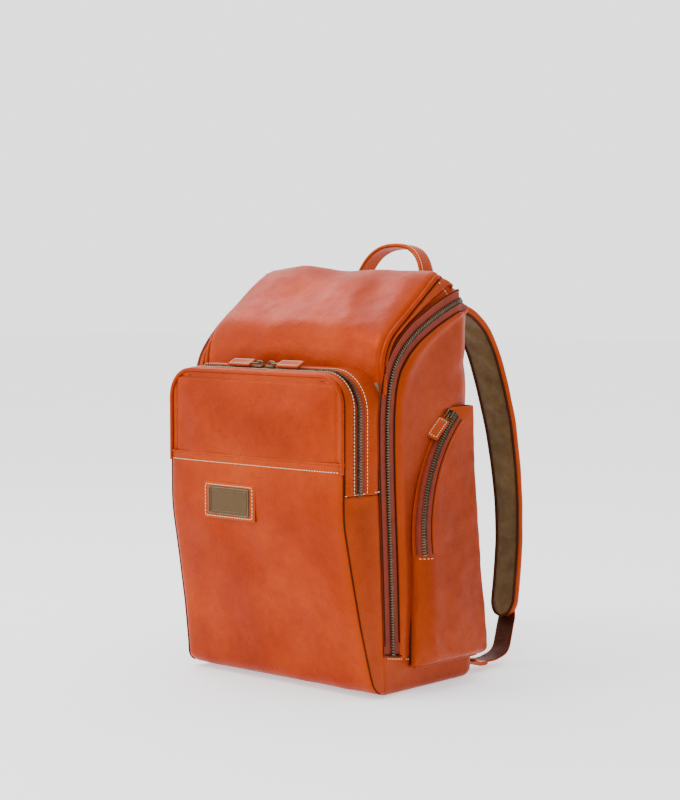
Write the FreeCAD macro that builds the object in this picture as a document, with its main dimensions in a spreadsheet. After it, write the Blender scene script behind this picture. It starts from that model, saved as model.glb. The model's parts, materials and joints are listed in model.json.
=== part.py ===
import FreeCAD, Part
import math
import os
import re

from FreeCAD import Placement, Rotation, Vector

# A leather backpack, standing on its base. Millimetres. X runs across the bag, Y from
# front to back and Z up. The origin is the middle of the base, on the floor.
#
# The bag opens like a clam: the front shell (front pocket, hood and half of the main
# zip) folds forward about a line along the front of the base. The front pocket's flap
# folds down from the shell. Zip sliders run along their zips, and each has a pull.

doc = FreeCAD.newDocument("LeatherBackpack")
sheet = doc.addObject("Spreadsheet::Sheet", "Sizes")

SIZES = [
    ("body_width", 280.0),
    ("body_depth", 160.0),
    ("leather", 2.4),
    ("lining", 0.8),
    ("tape", 1.4),
    # base tray
    ("base_thickness", 4.0),
    ("base_board", 3.0),
    ("base_front_rise", 46.0),
    ("base_middle_rise", 35.0),
    ("base_rear_rise", 40.0),
    ("base_corner", 26.0),
    # back
    ("back_height", 408.0),
    ("back_foam", 8.6),
    ("sleeve_gap", 23.0),
    ("sleeve_height", 290.0),
    # main zip: up the front edge, round a turn, then up the slope to the back
    ("zip_front", 80.5),
    ("zip_turn_height", 349.4),
    ("zip_turn_radius", 60.0),
    ("zip_slope", 28.5),
    ("zip_rear", 30.0),
    ("tape_width", 12.0),
    ("zip_gap", 0.8),
    # hood
    ("hood_front", 82.0),
    ("hood_turn_height", 374.7),
    ("hood_turn_radius", 50.0),
    ("hood_half_width", 134.0),
    ("ridge_back", 17.0),
    ("ridge_height", 447.0),
    # slope behind the ridge
    ("slope_front", 19.0),
    ("slope_top", 448.5),
    ("slope_fall", 33.6),
    ("slope_half_width", 130.0),
    # front pocket
    ("fold_front", 103.5),
    ("fold_height", 49.0),
    ("front_face", 133.7),
    ("front_straight_height", 190.0),
    ("front_straight_radius", 120.0),
    ("slip_height", 250.0),
    ("slip_gap", 4.5),
    ("flap_face", 128.8),
    ("flap_bottom", 253.0),
    ("flap_top", 341.0),
    ("flap_corner", 28.0),
    ("pocket_half_width", 125.5),
    ("pocket_top", 344.9),
    ("pocket_zip_front", 115.2),
    ("pocket_zip_width", 9.2),
    ("pocket_zip_half_width", 131.5),
    ("gusset_rear", 93.5),
    ("gusset_half_width", 138.2),
    ("gusset_angle", 14.5),
    # plaque
    ("patch_left", -72.0),
    ("patch_width", 78.0),
    ("patch_bottom", 180.0),
    ("patch_height", 41.0),
    ("plate_width", 62.0),
    ("plate_height", 31.0),
    # side pockets
    ("side_pocket_reach", 25.0),
    ("side_pocket_lean", 2.78),
    ("side_pocket_bottom", 30.0),
    ("side_pocket_top", 297.0),
    ("side_zip_width", 12.0),
    # sliders and pulls
    ("slider_length", 12.0),
    ("slider_width", 10.0),
    ("slider_thickness", 3.6),
    ("ear_height", 3.6),
    ("ear_length", 4.0),
    ("ear_thickness", 1.6),
    ("pin_radius", 0.7),
    ("eye_radius", 1.5),
    ("eye_bore", 1.0),
    ("pull_length", 38.0),
    ("pull_width", 12.0),
    ("pull_thickness", 2.4),
    ("pull_link", 8.0),
    # carry handle
    ("handle_half_span", 46.0),
    ("handle_foot", 404.0),
    ("handle_rise", 76.0),
    ("handle_width", 24.0),
    ("handle_half_thickness", 3.0),
    ("handle_bend", 38.0),
    ("handle_back", 84.0),
    ("handle_lean", 12.0),
    # shoulder straps
    ("strap_width", 46.0),
    ("strap_middle", 75.0),
    ("strap_splay", 5.6),
    ("strap_leather", 2.2),
    ("strap_pad", 7.6),
    ("strap_lining", 1.6),
    ("lower_strap_width", 25.0),
    ("lower_strap_inner", 104.0),
    ("lower_strap_half", 1.1),
]

for row, (alias, value) in enumerate(SIZES, 1):
    sheet.set("A%d" % row, alias.replace("_", " "))
    sheet.set("B%d" % row, str(value))
    sheet.setAlias("B%d" % row, alias)
doc.recompute()

nodes = {}


def size(alias):
    """The number in one cell of the sheet."""
    return float(sheet.get(alias))


def bind(item, prop, expression):
    """Ties a property to the sheet: every word of the expression is an alias."""
    item.setExpression(prop, re.sub(r"\b([a-z][a-z_]*)\b", r"Sizes.\1", expression))


def keep(name, item):
    """Names a finished sub-part."""
    item.Label = name
    nodes[name] = item
    return item


# ---------------------------------------------------------------- paths

def heading(start, end):
    run = math.hypot(end[0] - start[0], end[1] - start[1])
    return ((end[0] - start[0]) / run, (end[1] - start[1]) / run)


def shifted(path, distance):
    """The same open path, moved sideways to the left of its own direction."""
    result = []
    last = len(path) - 1
    for index, corner in enumerate(path):
        before = heading(path[max(index, 1) - 1], path[max(index, 1)])
        after = heading(path[min(index, last - 1)], path[min(index, last - 1) + 1])
        share = distance / (1 + before[0] * after[0] + before[1] * after[1])
        u = corner[0] - (before[1] + after[1]) * share
        v = corner[1] + (before[0] + after[0]) * share
        turn = before[0] * after[1] - before[1] * after[0]
        radius = corner[2] if len(corner) == 3 else 0.0
        if radius:
            radius -= math.copysign(distance, turn)
        result.append((u, v, radius))
    return result


def curves(path, closed):
    """Straight runs joined by tangent arcs, through corners (u, v) or (u, v, radius)."""
    count = len(path)
    starts = []
    ends = []
    arcs = []
    for index, corner in enumerate(path):
        radius = corner[2] if len(corner) == 3 else 0.0
        inner = closed or 0 < index < count - 1
        point = Vector(corner[0], corner[1], 0)
        if not (inner and radius):
            starts.append(point)
            ends.append(point)
            arcs.append(None)
            continue
        before = Vector(*heading(path[index - 1], corner), 0)
        after = Vector(*heading(corner, path[(index + 1) % count]), 0)
        half_turn = before.getAngle(after) / 2
        reach = radius * math.tan(half_turn)
        inward = (after - before).normalize()
        middle = point + inward * (radius / math.cos(half_turn) - radius)
        starts.append(point - before * reach)
        ends.append(point + after * reach)
        arcs.append(Part.Arc(starts[-1], middle, ends[-1]))
    result = []
    for index in range(count):
        if arcs[index]:
            result.append(arcs[index])
        if index < count - 1 or closed:
            result.append(Part.LineSegment(ends[index], starts[(index + 1) % count]))
    return result


# ---------------------------------------------------------------- ways to make a piece

def panel(name, role, outline, offset, thickness):
    """A flat piece: a closed outline on an origin plane, moved off it and padded."""
    body = doc.addObject("PartDesign::Body", name + "_body")
    sketch = body.newObject("Sketcher::SketchObject", name + "_outline")
    plane = [item for item in body.Origin.OriginFeatures if item.Role == role][0]
    sketch.AttachmentSupport = [(plane, "")]
    sketch.MapMode = "FlatFace"
    bind(sketch, "AttachmentOffset.Base.z", offset)
    for curve in curves(outline, True):
        sketch.addGeometry(curve, False)
    pad = body.newObject("PartDesign::Pad", name + "_pad")
    pad.Profile = sketch
    bind(pad, "Length", thickness)
    return body


def ribbon(name, plane, path, half_thickness, start, width):
    """A bent sheet: an open path thickened to both sides and extruded across it.

    On YZ the extrusion runs towards +X, and on XZ towards -Y, the bag's front.
    """
    turn = {"YZ": Rotation(Vector(1, 1, 1), 120), "XZ": Rotation(Vector(1, 0, 0), 90)}
    along = {"YZ": Vector(1, 0, 0), "XZ": Vector(0, -1, 0)}
    line = doc.addObject("Sketcher::SketchObject", name + "_path")
    line.Placement = Placement(Vector(), turn[plane])
    if plane == "YZ":
        bind(line, "Placement.Base.x", start)
    else:
        bind(line, "Placement.Base.y", "0 - (%s)" % start)
    for curve in curves(path, False):
        line.addGeometry(curve, False)
    band = doc.addObject("Part::Offset2D", name + "_band")
    band.Source = line
    band.Fill = True
    bind(band, "Value", half_thickness)
    solid = doc.addObject("Part::Extrusion", name + "_solid")
    solid.Base = band
    solid.DirMode = "Custom"
    solid.Dir = along[plane]
    solid.Solid = True
    bind(solid, "LengthFwd", width)
    return solid


def block(name, low, lengths):
    """A box from its low corner and its lengths, all six as expressions."""
    box = doc.addObject("Part::Box", name)
    for axis, value in zip("xyz", low):
        bind(box, "Placement.Base." + axis, value)
    for prop, value in zip(("Length", "Width", "Height"), lengths):
        bind(box, prop, value)
    return box


def mirrored(name, item):
    """The same piece on the bag's other side."""
    twin = doc.addObject("Part::Mirroring", name + "_twin")
    twin.Source = item
    twin.Normal = Vector(1, 0, 0)
    return twin


def group(name, items):
    """Several separate solids that are one sub-part."""
    compound = doc.addObject("Part::Compound", name + "_group")
    compound.Links = items
    return compound


def both_sides(name, item):
    keep(name + "_right", item)
    keep(name + "_left", mirrored(name, item))


def turned(item, centre, axis, angle):
    """Turns a finished piece about a line."""
    item.Placement = Placement(Vector(), Rotation(axis, angle), centre)
    return item


# ---------------------------------------------------------------- lines shared by pieces

half_width = size("body_width") / 2
half_depth = size("body_depth") / 2
leather = size("leather")

zip_slope = math.radians(size("zip_slope"))
zip_front = -size("zip_front")
zip_turn = size("zip_turn_height")


def zip_height(y):
    """Height of the main zip's line on its upper slope."""
    return zip_turn + (y - zip_front) * math.tan(zip_slope)


def zip_line(foot, rear):
    """The main zip seen from the side, from its foot up to the rear end."""
    return [
        (zip_front, foot),
        (zip_front, zip_turn, size("zip_turn_radius")),
        (rear, zip_height(rear)),
    ]


def slope_point(distance):
    """A point on the slope behind the ridge, this far down it."""
    fall = math.radians(size("slope_fall"))
    y = size("slope_front") + distance * math.cos(fall)
    z = size("slope_top") - distance * math.sin(fall)
    return (y, z)


# The pocket's front, from the fold line up to the slip pocket's edge.
front_line = [
    (-size("fold_front") - 1.0, size("fold_height") + 5.0),
    (-size("front_face"), size("front_straight_height"), size("front_straight_radius")),
    (-size("front_face"), size("slip_height")),
]


# ---------------------------------------------------------------- base and back

def make_base():
    corner = size("base_corner")
    plan = [
        (-half_width, -half_depth, 8.0),
        (half_width, -half_depth, 8.0),
        (half_width, half_depth, corner),
        (-half_width, half_depth, corner),
    ]
    keep("base_panel", panel("base_panel", "XY_Plane", plan, "0", "base_thickness"))

    inset = 8.0
    board = [
        (inset - half_width, inset - half_depth, 8.0),
        (half_width - inset, inset - half_depth, 8.0),
        (half_width - inset, half_depth - inset, corner),
        (inset - half_width, half_depth - inset, corner),
    ]
    keep("base_board", panel("base_board", "XY_Plane", board, "base_thickness", "base_board"))

    side = [(-half_depth + leather, size("base_thickness"))] + base_top_line()[::-1]
    side.append((half_depth - leather, size("base_thickness")))
    right = panel("base_wrap_right", "YZ_Plane", side, "body_width / 2 - leather", "leather")
    left = mirrored("base_wrap_left", right)
    back = block(
        "base_wrap_back",
        ("leather - body_width / 2", "body_depth / 2 - leather", "base_thickness"),
        ("body_width - 2 * leather", "leather", "base_rear_rise - base_thickness"),
    )
    front = block(
        "base_wrap_front",
        ("leather - body_width / 2", "0 - body_depth / 2", "base_thickness"),
        ("body_width - 2 * leather", "leather", "base_front_rise - base_thickness"),
    )
    keep("base_wrap", group("base_wrap", [right, left, back, front]))


def base_top_line():
    """Upper edge of the base tray on the bag's sides, from back to front."""
    return [
        (half_depth - leather, size("base_rear_rise")),
        (0.0, size("base_middle_rise")),
        (-half_depth + leather, size("base_front_rise")),
    ]


def make_back():
    width = "body_width - 2 * leather"
    start = "leather - body_width / 2"
    keep("back_panel", block(
        "back_panel_box",
        (start, "body_depth / 2 - leather", "base_rear_rise"),
        (width, "leather", "back_height - base_rear_rise"),
    ))
    keep("back_foam", block(
        "back_foam_box",
        ("10 - body_width / 2", "body_depth / 2 - leather - back_foam", "base_rear_rise / 2"),
        ("body_width - 20", "back_foam", "back_height - base_rear_rise"),
    ))
    keep("laptop_sleeve", block(
        "laptop_sleeve_box",
        ("6 - body_width / 2",
         "body_depth / 2 - leather - back_foam - sleeve_gap - 2",
         "base_thickness + base_board"),
        ("body_width - 12", "2", "sleeve_height"),
    ))
    keep("yoke_patch", block(
        "yoke_patch_box",
        ("0 - strap_middle - strap_width / 2", "body_depth / 2", "back_height - 46"),
        ("2 * strap_middle + strap_width", "leather", "44"),
    ))


def make_sides():
    """The leather side walls behind the main zip, and the lining inside them."""
    inner_edge = shifted(zip_line(size("base_front_rise"), half_depth - 25.0),
                         -size("tape_width") - size("zip_gap"))
    lower = base_top_line()
    outline = inner_edge + [(half_depth - leather, size("back_height") - 6.0)] + lower[:2]
    wall = panel("side_panel", "YZ_Plane", outline, "body_width / 2 - leather", "leather")
    both_sides("side_panel", wall)

    edge = shifted(zip_line(size("base_front_rise"), half_depth - 22.0),
                   -size("tape_width") - 8.0)
    cloth = edge + [(half_depth - 22.0, 60.0)]
    right = panel("side_lining", "YZ_Plane", cloth,
                  "body_width / 2 - leather - lining - 0.2", "lining")
    keep("side_linings", group("side_linings", [right, mirrored("side_lining_left", right)]))


# ---------------------------------------------------------------- main zip

def slope_strip(name, first, last, half_thickness, span):
    """A strip lying on the slope behind the ridge, between two distances down it."""
    path = [slope_point(first), slope_point(last)]
    outline = shifted(path, half_thickness) + shifted(path, -half_thickness)[::-1]
    return panel(name, "YZ_Plane", outline, "0 - (%s)" % span, "2 * (%s)" % span)


SLOPE_MAIN_ZIP = 54.6


def make_main_zip():
    """Two tapes that meet at the teeth: one sewn to the bag, one to the front shell."""
    foot = size("fold_height") + 3.0
    half_tape = size("tape_width") / 2
    reach = half_tape + size("zip_gap") / 2
    plane = "body_width / 2 - leather + 0.5"
    rear_path = shifted(zip_line(foot, size("zip_rear")), -reach)
    rear = ribbon("rear_zip_side", "YZ", rear_path, "tape_width / 2", plane, "tape")
    rear_top = slope_strip("rear_zip_top", SLOPE_MAIN_ZIP + 0.7, SLOPE_MAIN_ZIP + 12.0,
                           size("tape") / 2, "slope_half_width")
    keep("rear_zip_tape", group(
        "rear_zip_tape", [rear, mirrored("rear_zip_left", rear), rear_top]))

    front_path = shifted(zip_line(foot, size("zip_rear")), reach)
    front = ribbon("shell_zip_side", "YZ", front_path, "tape_width / 2", plane, "tape")
    front_top = slope_strip("shell_zip_top", SLOPE_MAIN_ZIP - 10.0, SLOPE_MAIN_ZIP - 0.7,
                            size("tape") / 2, "slope_half_width")
    keep("shell_zip_tape", group(
        "shell_zip_tape", [front, mirrored("shell_zip_left", front), front_top]))


# ---------------------------------------------------------------- hood and top zip

def make_hood():
    hood_line = [
        (-size("hood_front"), size("pocket_top") + 1.0),
        (-size("hood_front"), size("hood_turn_height"), size("hood_turn_radius")),
        (size("ridge_back"), size("ridge_height")),
    ]
    hood = ribbon("hood_panel", "YZ", hood_line, "leather / 2",
                  "0 - hood_half_width", "2 * hood_half_width")
    keep("hood_panel", hood)

    drop = size("tape_width") + 4.0
    lower = shifted(zip_line(300.0, size("zip_rear")), drop)
    tip = (-60.0, 379.0)
    wedge = [
        tip,
        (size("ridge_back") - 2.0, size("ridge_height") - 7.0),
        (lower[2][0] + 14.0, lower[2][1] + 8.0),
        (lower[2][0] + 8.0, lower[2][1] + 2.5),
        (-46.0, 386.0),
    ]
    side = panel("hood_gusset", "YZ_Plane", wedge, "hood_half_width + 0.3", "leather")
    keep("hood_gussets", group("hood_gussets", [side, mirrored("hood_gusset_left", side)]))

    front_strip = slope_strip("top_front_strip", 1.5, 6.5, leather / 2, "slope_half_width")
    rear_strip = slope_strip("top_rear_strip", 31.0, 44.0, leather / 2, "slope_half_width")
    keep("top_strips", group("top_strips", [front_strip, rear_strip]))
    keep("top_zip_tape", slope_strip("top_zip", 7.0, 30.5, size("tape") / 2,
                                     "slope_half_width - 6"))


# ---------------------------------------------------------------- front pocket

def make_front_pocket():
    slip_depth = leather + size("slip_gap")
    across = "2 * pocket_half_width"
    start = "0 - pocket_half_width"
    slip = ribbon("slip_pocket_panel", "YZ", shifted(front_line, -leather / 2),
                  "leather / 2", start, across)
    keep("slip_pocket_panel", slip)
    lower = ribbon("lower_front_panel", "YZ", shifted(front_line, -slip_depth - leather / 2),
                   "leather / 2", start, across)
    keep("lower_front_panel", lower)
    welt_line = shifted(front_line, -leather - size("slip_gap") / 2)
    welt = ribbon("slip_welt", "YZ", welt_line, "slip_gap / 2 - 0.1",
                  "pocket_half_width - 5", "5")
    keep("slip_pocket_welts", group("slip_pocket_welts", [welt, mirrored("slip_welt_left", welt)]))

    keep("pocket_divider", block(
        "pocket_divider_box",
        ("3 - body_width / 2", "0 - hood_front - 1.2", "fold_height + 4"),
        ("body_width - 6", "leather", "pocket_top - fold_height - 8"),
    ))
    keep("pocket_floor", block(
        "pocket_floor_box",
        ("8 - body_width / 2", "0 - fold_front + 3", "fold_height + 1.4"),
        ("body_width - 16", "fold_front - hood_front - 4", "leather"),
    ))
    keep("pocket_ceiling", block(
        "pocket_ceiling_box",
        ("0 - pocket_half_width - 2", "pocket_zip_width - pocket_zip_front + 0.4",
         "pocket_top - leather"),
        ("2 * pocket_half_width + 4", "pocket_zip_front - pocket_zip_width - hood_front - 2.2",
         "leather"),
    ))
    make_pocket_gussets()

    top = size("pocket_top") - size("tape") / 2
    side = size("pocket_zip_half_width")
    zip_path = [
        (-side, size("flap_bottom") - 30.0),
        (-side, top, 38.0),
        (side, top, 38.0),
        (side, size("flap_bottom") - 30.0),
    ]
    keep("pocket_zip_tape", ribbon(
        "pocket_zip", "XZ", zip_path, "tape / 2",
        "pocket_zip_front - pocket_zip_width", "pocket_zip_width"))


def make_pocket_gussets():
    """Side walls of the front pocket, which draw in from the bag towards its face."""
    rear = -size("gusset_rear")
    stretch = 1 / math.cos(math.radians(size("gusset_angle")))

    def laid_out(y):
        """Distance from the rear edge, measured along the slanted wall."""
        return rear + (y - rear) * stretch

    foot = front_line[0]
    knee = front_line[1]
    mouth = -size("pocket_zip_front") + size("pocket_zip_width") + 0.5
    outline = [
        (rear, size("fold_height") + 1.4),
        (rear, size("pocket_top") - leather - 0.4),
        (laid_out(mouth), size("pocket_top") - leather - 0.4),
        (laid_out(mouth), size("flap_bottom") - 32.0),
        (laid_out(knee[0] + 1.0), size("flap_bottom") - 32.0),
        (laid_out(knee[0] + 1.0), knee[1], size("front_straight_radius")),
        (laid_out(foot[0] + 1.0), foot[1] - 3.6),
    ]
    wall = panel("pocket_gusset", "YZ_Plane", outline, "gusset_half_width - leather", "leather")
    pivot = Vector(size("gusset_half_width"), rear, 0)
    turned(wall, pivot, Vector(0, 0, 1), -size("gusset_angle"))
    both_sides("pocket_gusset", wall)


def make_plaque():
    patch_right = size("patch_left") + size("patch_width")
    patch_top = size("patch_bottom") + size("patch_height")
    patch = [
        (size("patch_left"), size("patch_bottom"), 4.0),
        (patch_right, size("patch_bottom"), 4.0),
        (patch_right, patch_top, 4.0),
        (size("patch_left"), patch_top, 4.0),
    ]
    keep("plaque_patch", panel("plaque_patch", "XZ_Plane", patch, "front_face + 0.6", "leather - 0.6"))
    low_x = size("patch_left") + (size("patch_width") - size("plate_width")) / 2
    low_z = size("patch_bottom") + (size("patch_height") - size("plate_height")) / 2
    high_x = low_x + size("plate_width")
    high_z = low_z + size("plate_height")
    plate = [(low_x, low_z, 3.0), (high_x, low_z, 3.0), (high_x, high_z, 3.0), (low_x, high_z, 3.0)]
    keep("plaque_plate", panel("plaque_plate", "XZ_Plane", plate, "front_face + leather", "1.4"))


def make_flap():
    """The part of the front pocket that the zip frees, and the fold below the pocket."""
    side = size("pocket_half_width")
    corner = size("flap_corner")
    face = [
        (-side, size("flap_bottom")),
        (side, size("flap_bottom")),
        (side, size("flap_top"), corner),
        (-side, size("flap_top"), corner),
    ]
    keep("flap_panel", panel("flap_panel", "XZ_Plane", face, "flap_face - leather", "leather"))
    rim = side + leather / 2 + 0.5
    rim_top = size("flap_top") + leather / 2 + 0.3
    rim_path = [
        (-rim, size("flap_bottom")),
        (-rim, rim_top, corner + leather),
        (rim, rim_top, corner + leather),
        (rim, size("flap_bottom")),
    ]
    keep("flap_rim", ribbon("flap_rim", "XZ", rim_path, "leather / 2",
                            "pocket_zip_front + 0.4", "flap_face - pocket_zip_front - 0.4"))

    wall = -half_depth - 0.3
    foot = [
        (wall, 14.0),
        (-94.0, 30.0, 10.0),
        (-size("fold_front") + 0.5, size("fold_height") - 1.4),
        (wall, size("fold_height") - 1.4),
    ]
    keep("pocket_foot", panel("pocket_foot", "YZ_Plane", foot,
                              "4 - body_width / 2", "body_width - 8"))


# ---------------------------------------------------------------- side pockets

SIDE_ZIP_START = (-31.5, 148.0)
SIDE_ZIP_MIDDLE = (-15.0, 243.0)
SIDE_ZIP_END = (32.6, 299.7)


def circle_through(first, second, third):
    """Centre and radius of the circle through three points."""
    arc = Part.Arc(*[Vector(u, v, 0) for u, v in (first, second, third)])
    circle = arc.toShape().Curve
    return (circle.Center.x, circle.Center.y), circle.Radius


side_zip_centre, side_zip_radius = circle_through(SIDE_ZIP_START, SIDE_ZIP_MIDDLE, SIDE_ZIP_END)


def side_zip_point(angle, radius):
    """A point beside the pocket zip: the angle is from +Y, towards +Z, in degrees."""
    turn = math.radians(angle)
    y = side_zip_centre[0] + radius * math.cos(turn)
    z = side_zip_centre[1] + radius * math.sin(turn)
    return (y, z)


def side_zip_angle(point):
    """A point's angle on the pocket zip's circle, from 0 to 360 degrees."""
    turn = math.atan2(point[1] - side_zip_centre[1], point[0] - side_zip_centre[0])
    return math.degrees(turn) % 360.0


def arc_band(name, inner, outer, first, last, start, width):
    """A sheet bent to the pocket zip's arc, extruded along X."""
    line = doc.addObject("Sketcher::SketchObject", name + "_section")
    line.Placement = Placement(Vector(), Rotation(Vector(1, 1, 1), 120))
    bind(line, "Placement.Base.x", start)
    middle = (first + last) / 2
    corners = {}
    for angle in (first, middle, last):
        corners[angle] = [Vector(*side_zip_point(angle, radius), 0) for radius in (inner, outer)]
    for side in (0, 1):
        line.addGeometry(Part.Arc(*[corners[angle][side] for angle in (first, middle, last)]))
    for angle in (first, last):
        line.addGeometry(Part.LineSegment(*corners[angle]))
    solid = doc.addObject("Part::Extrusion", name + "_solid")
    solid.Base = line
    solid.DirMode = "Custom"
    solid.Dir = Vector(1, 0, 0)
    solid.Solid = True
    bind(solid, "LengthFwd", width)
    return solid


def make_side_pockets():
    reach = size("side_pocket_reach")
    bottom = size("side_pocket_bottom")
    top = size("side_pocket_top")
    lean = size("side_pocket_lean")
    low_angle = side_zip_angle(SIDE_ZIP_START)
    high_angle = side_zip_angle(SIDE_ZIP_END)
    inner_radius = side_zip_radius - size("tape") / 2
    outer_radius = side_zip_radius + size("tape") / 2

    face_radius = inner_radius - 1.0
    arc_points = []
    for share in (0.0, 0.25, 0.5, 0.75, 1.0):
        angle = low_angle + (high_angle - low_angle) * share
        arc_points.append(side_zip_point(angle, face_radius))
    face = arc_points[::-1] + [
        (-30.0, bottom, 16.0),
        (64.0, bottom, 14.0),
        (42.0, top - 2.0, 6.0),
    ]
    skin = panel("side_pocket_face", "YZ_Plane", face, "body_width / 2 + side_pocket_reach - leather",
                 "leather")
    hinge_line = Vector(half_width + reach, 0, bottom)
    turned(skin, hinge_line, Vector(0, 1, 0), -lean)
    both_sides("side_pocket_face", skin)

    gusset_path = [
        (-28.5, SIDE_ZIP_START[1] - 3.0),
        (-28.0, bottom + leather, 15.0),
        (62.0, bottom + leather, 13.0),
        (41.0, top - 4.0),
    ]
    wall = ribbon("side_pocket_wall", "YZ", gusset_path, "leather / 2",
                  "body_width / 2 + 0.3", "side_pocket_reach + 4")
    cutter = doc.addObject("Part::Box", "side_pocket_trim")
    cutter.Length = 40
    cutter.Width = 200
    cutter.Height = 400
    inner_face = Vector(half_width + reach - leather - 0.3, -100, bottom)
    cutter.Placement = Placement(inner_face, Rotation(Vector(0, 1, 0), -lean))
    below = doc.addObject("Part::Box", "side_pocket_trim_low")
    below.Length = 40
    below.Width = 200
    below.Height = 40
    below.Placement = Placement(inner_face + Vector(0, 0, -39), Rotation())
    tools = doc.addObject("Part::MultiFuse", "side_pocket_trims")
    tools.Shapes = [cutter, below]
    trimmed = doc.addObject("Part::Cut", "side_pocket_gusset")
    trimmed.Base = wall
    trimmed.Tool = tools
    keep("side_pocket_gussets", group(
        "side_pocket_gussets", [trimmed, mirrored("side_pocket_gusset_left", trimmed)]))

    band = arc_band("side_zip", inner_radius, outer_radius, high_angle, low_angle,
                    "body_width / 2 + 0.3", "side_zip_width")
    keep("side_zip_tapes", group("side_zip_tapes", [band, mirrored("side_zip_left", band)]))


# ---------------------------------------------------------------- sliders and pulls

def make_slider(name, place):
    """A zip slider with two ears and a pin, and a leather pull whose eye turns on it.

    It is drawn at the origin with its track along X and its outer face up, then placed.
    """
    body = block(name + "_shoe",
                 ("0 - slider_length / 2", "0 - slider_width / 2", "0"),
                 ("slider_length", "slider_width", "slider_thickness"))
    ears = []
    for side, low in (("near", "0 - slider_width / 2"), ("far", "slider_width / 2 - ear_thickness")):
        ears.append(block(name + "_ear_" + side,
                          ("0 - ear_length / 2", low, "slider_thickness"),
                          ("ear_length", "ear_thickness", "ear_height")))
    axis_height = size("slider_thickness") + size("ear_height") / 2
    across = Rotation(Vector(1, 0, 0), -90)
    pin = doc.addObject("Part::Cylinder", name + "_pin")
    bind(pin, "Radius", "pin_radius")
    bind(pin, "Height", "slider_width")
    pin.Placement = Placement(Vector(0, -size("slider_width") / 2, axis_height), across)
    slider = doc.addObject("Part::MultiFuse", name + "_slider_solid")
    slider.Shapes = [body] + ears + [pin]
    slider.Placement = place
    keep(name + "_slider", slider)

    play = 0.3
    eye_length = size("slider_width") - 2 * size("ear_thickness") - 2 * play
    eye = doc.addObject("Part::Cylinder", name + "_eye")
    bind(eye, "Radius", "eye_radius")
    eye.Height = eye_length
    eye.Placement = Placement(Vector(0, -eye_length / 2, axis_height), across)
    bore = doc.addObject("Part::Cylinder", name + "_eye_bore")
    bind(bore, "Radius", "eye_bore")
    bore.Height = eye_length + 2
    bore.Placement = Placement(Vector(0, -eye_length / 2 - 1, axis_height), across)
    link = doc.addObject("Part::Box", name + "_link")
    link.Length = size("pull_link")
    link.Width = eye_length
    link.Height = 1.2
    link.Placement = Placement(Vector(size("eye_bore") + 0.1, -eye_length / 2, axis_height - 0.6),
                               Rotation())
    tab = doc.addObject("Part::Box", name + "_tab")
    tab.Length = size("pull_length") - size("pull_link")
    bind(tab, "Width", "pull_width")
    bind(tab, "Height", "pull_thickness")
    tab.Placement = Placement(Vector(size("pull_link"), -size("pull_width") / 2,
                                     axis_height - size("pull_thickness") / 2), Rotation())
    joined = doc.addObject("Part::MultiFuse", name + "_pull_blank")
    joined.Shapes = [eye, link, tab]
    pull = doc.addObject("Part::Cut", name + "_pull_solid")
    pull.Base = joined
    pull.Tool = bore
    pull.Placement = place
    keep(name + "_pull", pull)


def frame_of(origin, along, outward):
    """Placement whose X runs along the track and whose Z points out of the bag."""
    x = Vector(*along).normalize()
    z = Vector(*outward).normalize()
    y = z.cross(x)
    matrix = FreeCAD.Matrix(x.x, y.x, z.x, origin[0],
                            x.y, y.y, z.y, origin[1],
                            x.z, y.z, z.z, origin[2],
                            0, 0, 0, 1)
    return Placement(matrix)


def make_sliders():
    lift = 0.4
    fall = math.radians(size("slope_fall"))
    outward = (0, math.sin(fall), math.cos(fall))

    def on_slope(x, distance, height):
        y, z = slope_point(distance)
        return (x, y + outward[1] * height, z + outward[2] * height)

    over_tape = size("tape") / 2 + lift
    pocket_y = -size("pocket_zip_front") + 2.4
    for side, sign in (("right", 1), ("left", -1)):
        make_slider("pocket_" + side, frame_of(
            (sign * 9.0, pocket_y, size("pocket_top") + lift), (sign, 0, 0), (0, 0, 1)))
        make_slider("main_" + side, frame_of(
            on_slope(sign * 9.0, SLOPE_MAIN_ZIP, over_tape + 0.4), (sign, 0, 0), outward))
        angle = side_zip_angle(SIDE_ZIP_END) + 4.0
        y, z = side_zip_point(angle, side_zip_radius + over_tape)
        turn = math.radians(angle)
        x = sign * (half_width + 0.3 + size("side_zip_width") / 2)
        make_slider("side_" + side, frame_of(
            (x, y, z), (0, -math.sin(turn), math.cos(turn)), (0, math.cos(turn), math.sin(turn))))
    make_slider("top", frame_of(on_slope(-104.0, 18.5, over_tape), (1, 0, 0), outward))


# ---------------------------------------------------------------- handle and straps

def make_handle():
    span = size("handle_half_span")
    foot = size("handle_foot")
    top = foot + size("handle_rise") - size("handle_half_thickness")
    bend = size("handle_bend")
    arch = [(-span, foot), (-span + 3.0, top, bend), (span - 3.0, top, bend), (span, foot)]
    handle = ribbon("carry_handle", "XZ", arch, "handle_half_thickness",
                    "0 - handle_back - handle_width", "handle_width")
    pivot = Vector(0, size("handle_back") + size("handle_width") / 2, foot)
    turned(handle, pivot, Vector(1, 0, 0), -size("handle_lean"))
    keep("carry_handle", handle)


# The shoulder strap's outer face, from its anchor over the bend and down to its tip.
strap_line = [
    (88.5, 411.0),
    (137.0, 412.0, 46.0),
    (204.0, 268.0, 230.0),
    (223.0, 138.0, 170.0),
    (204.0, 49.0),
]

lower_strap_line = [
    (196.0, 44.5),
    (187.0, 17.0, 26.0),
    (160.0, 7.0, 60.0),
    (113.5, 6.5),
]


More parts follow.
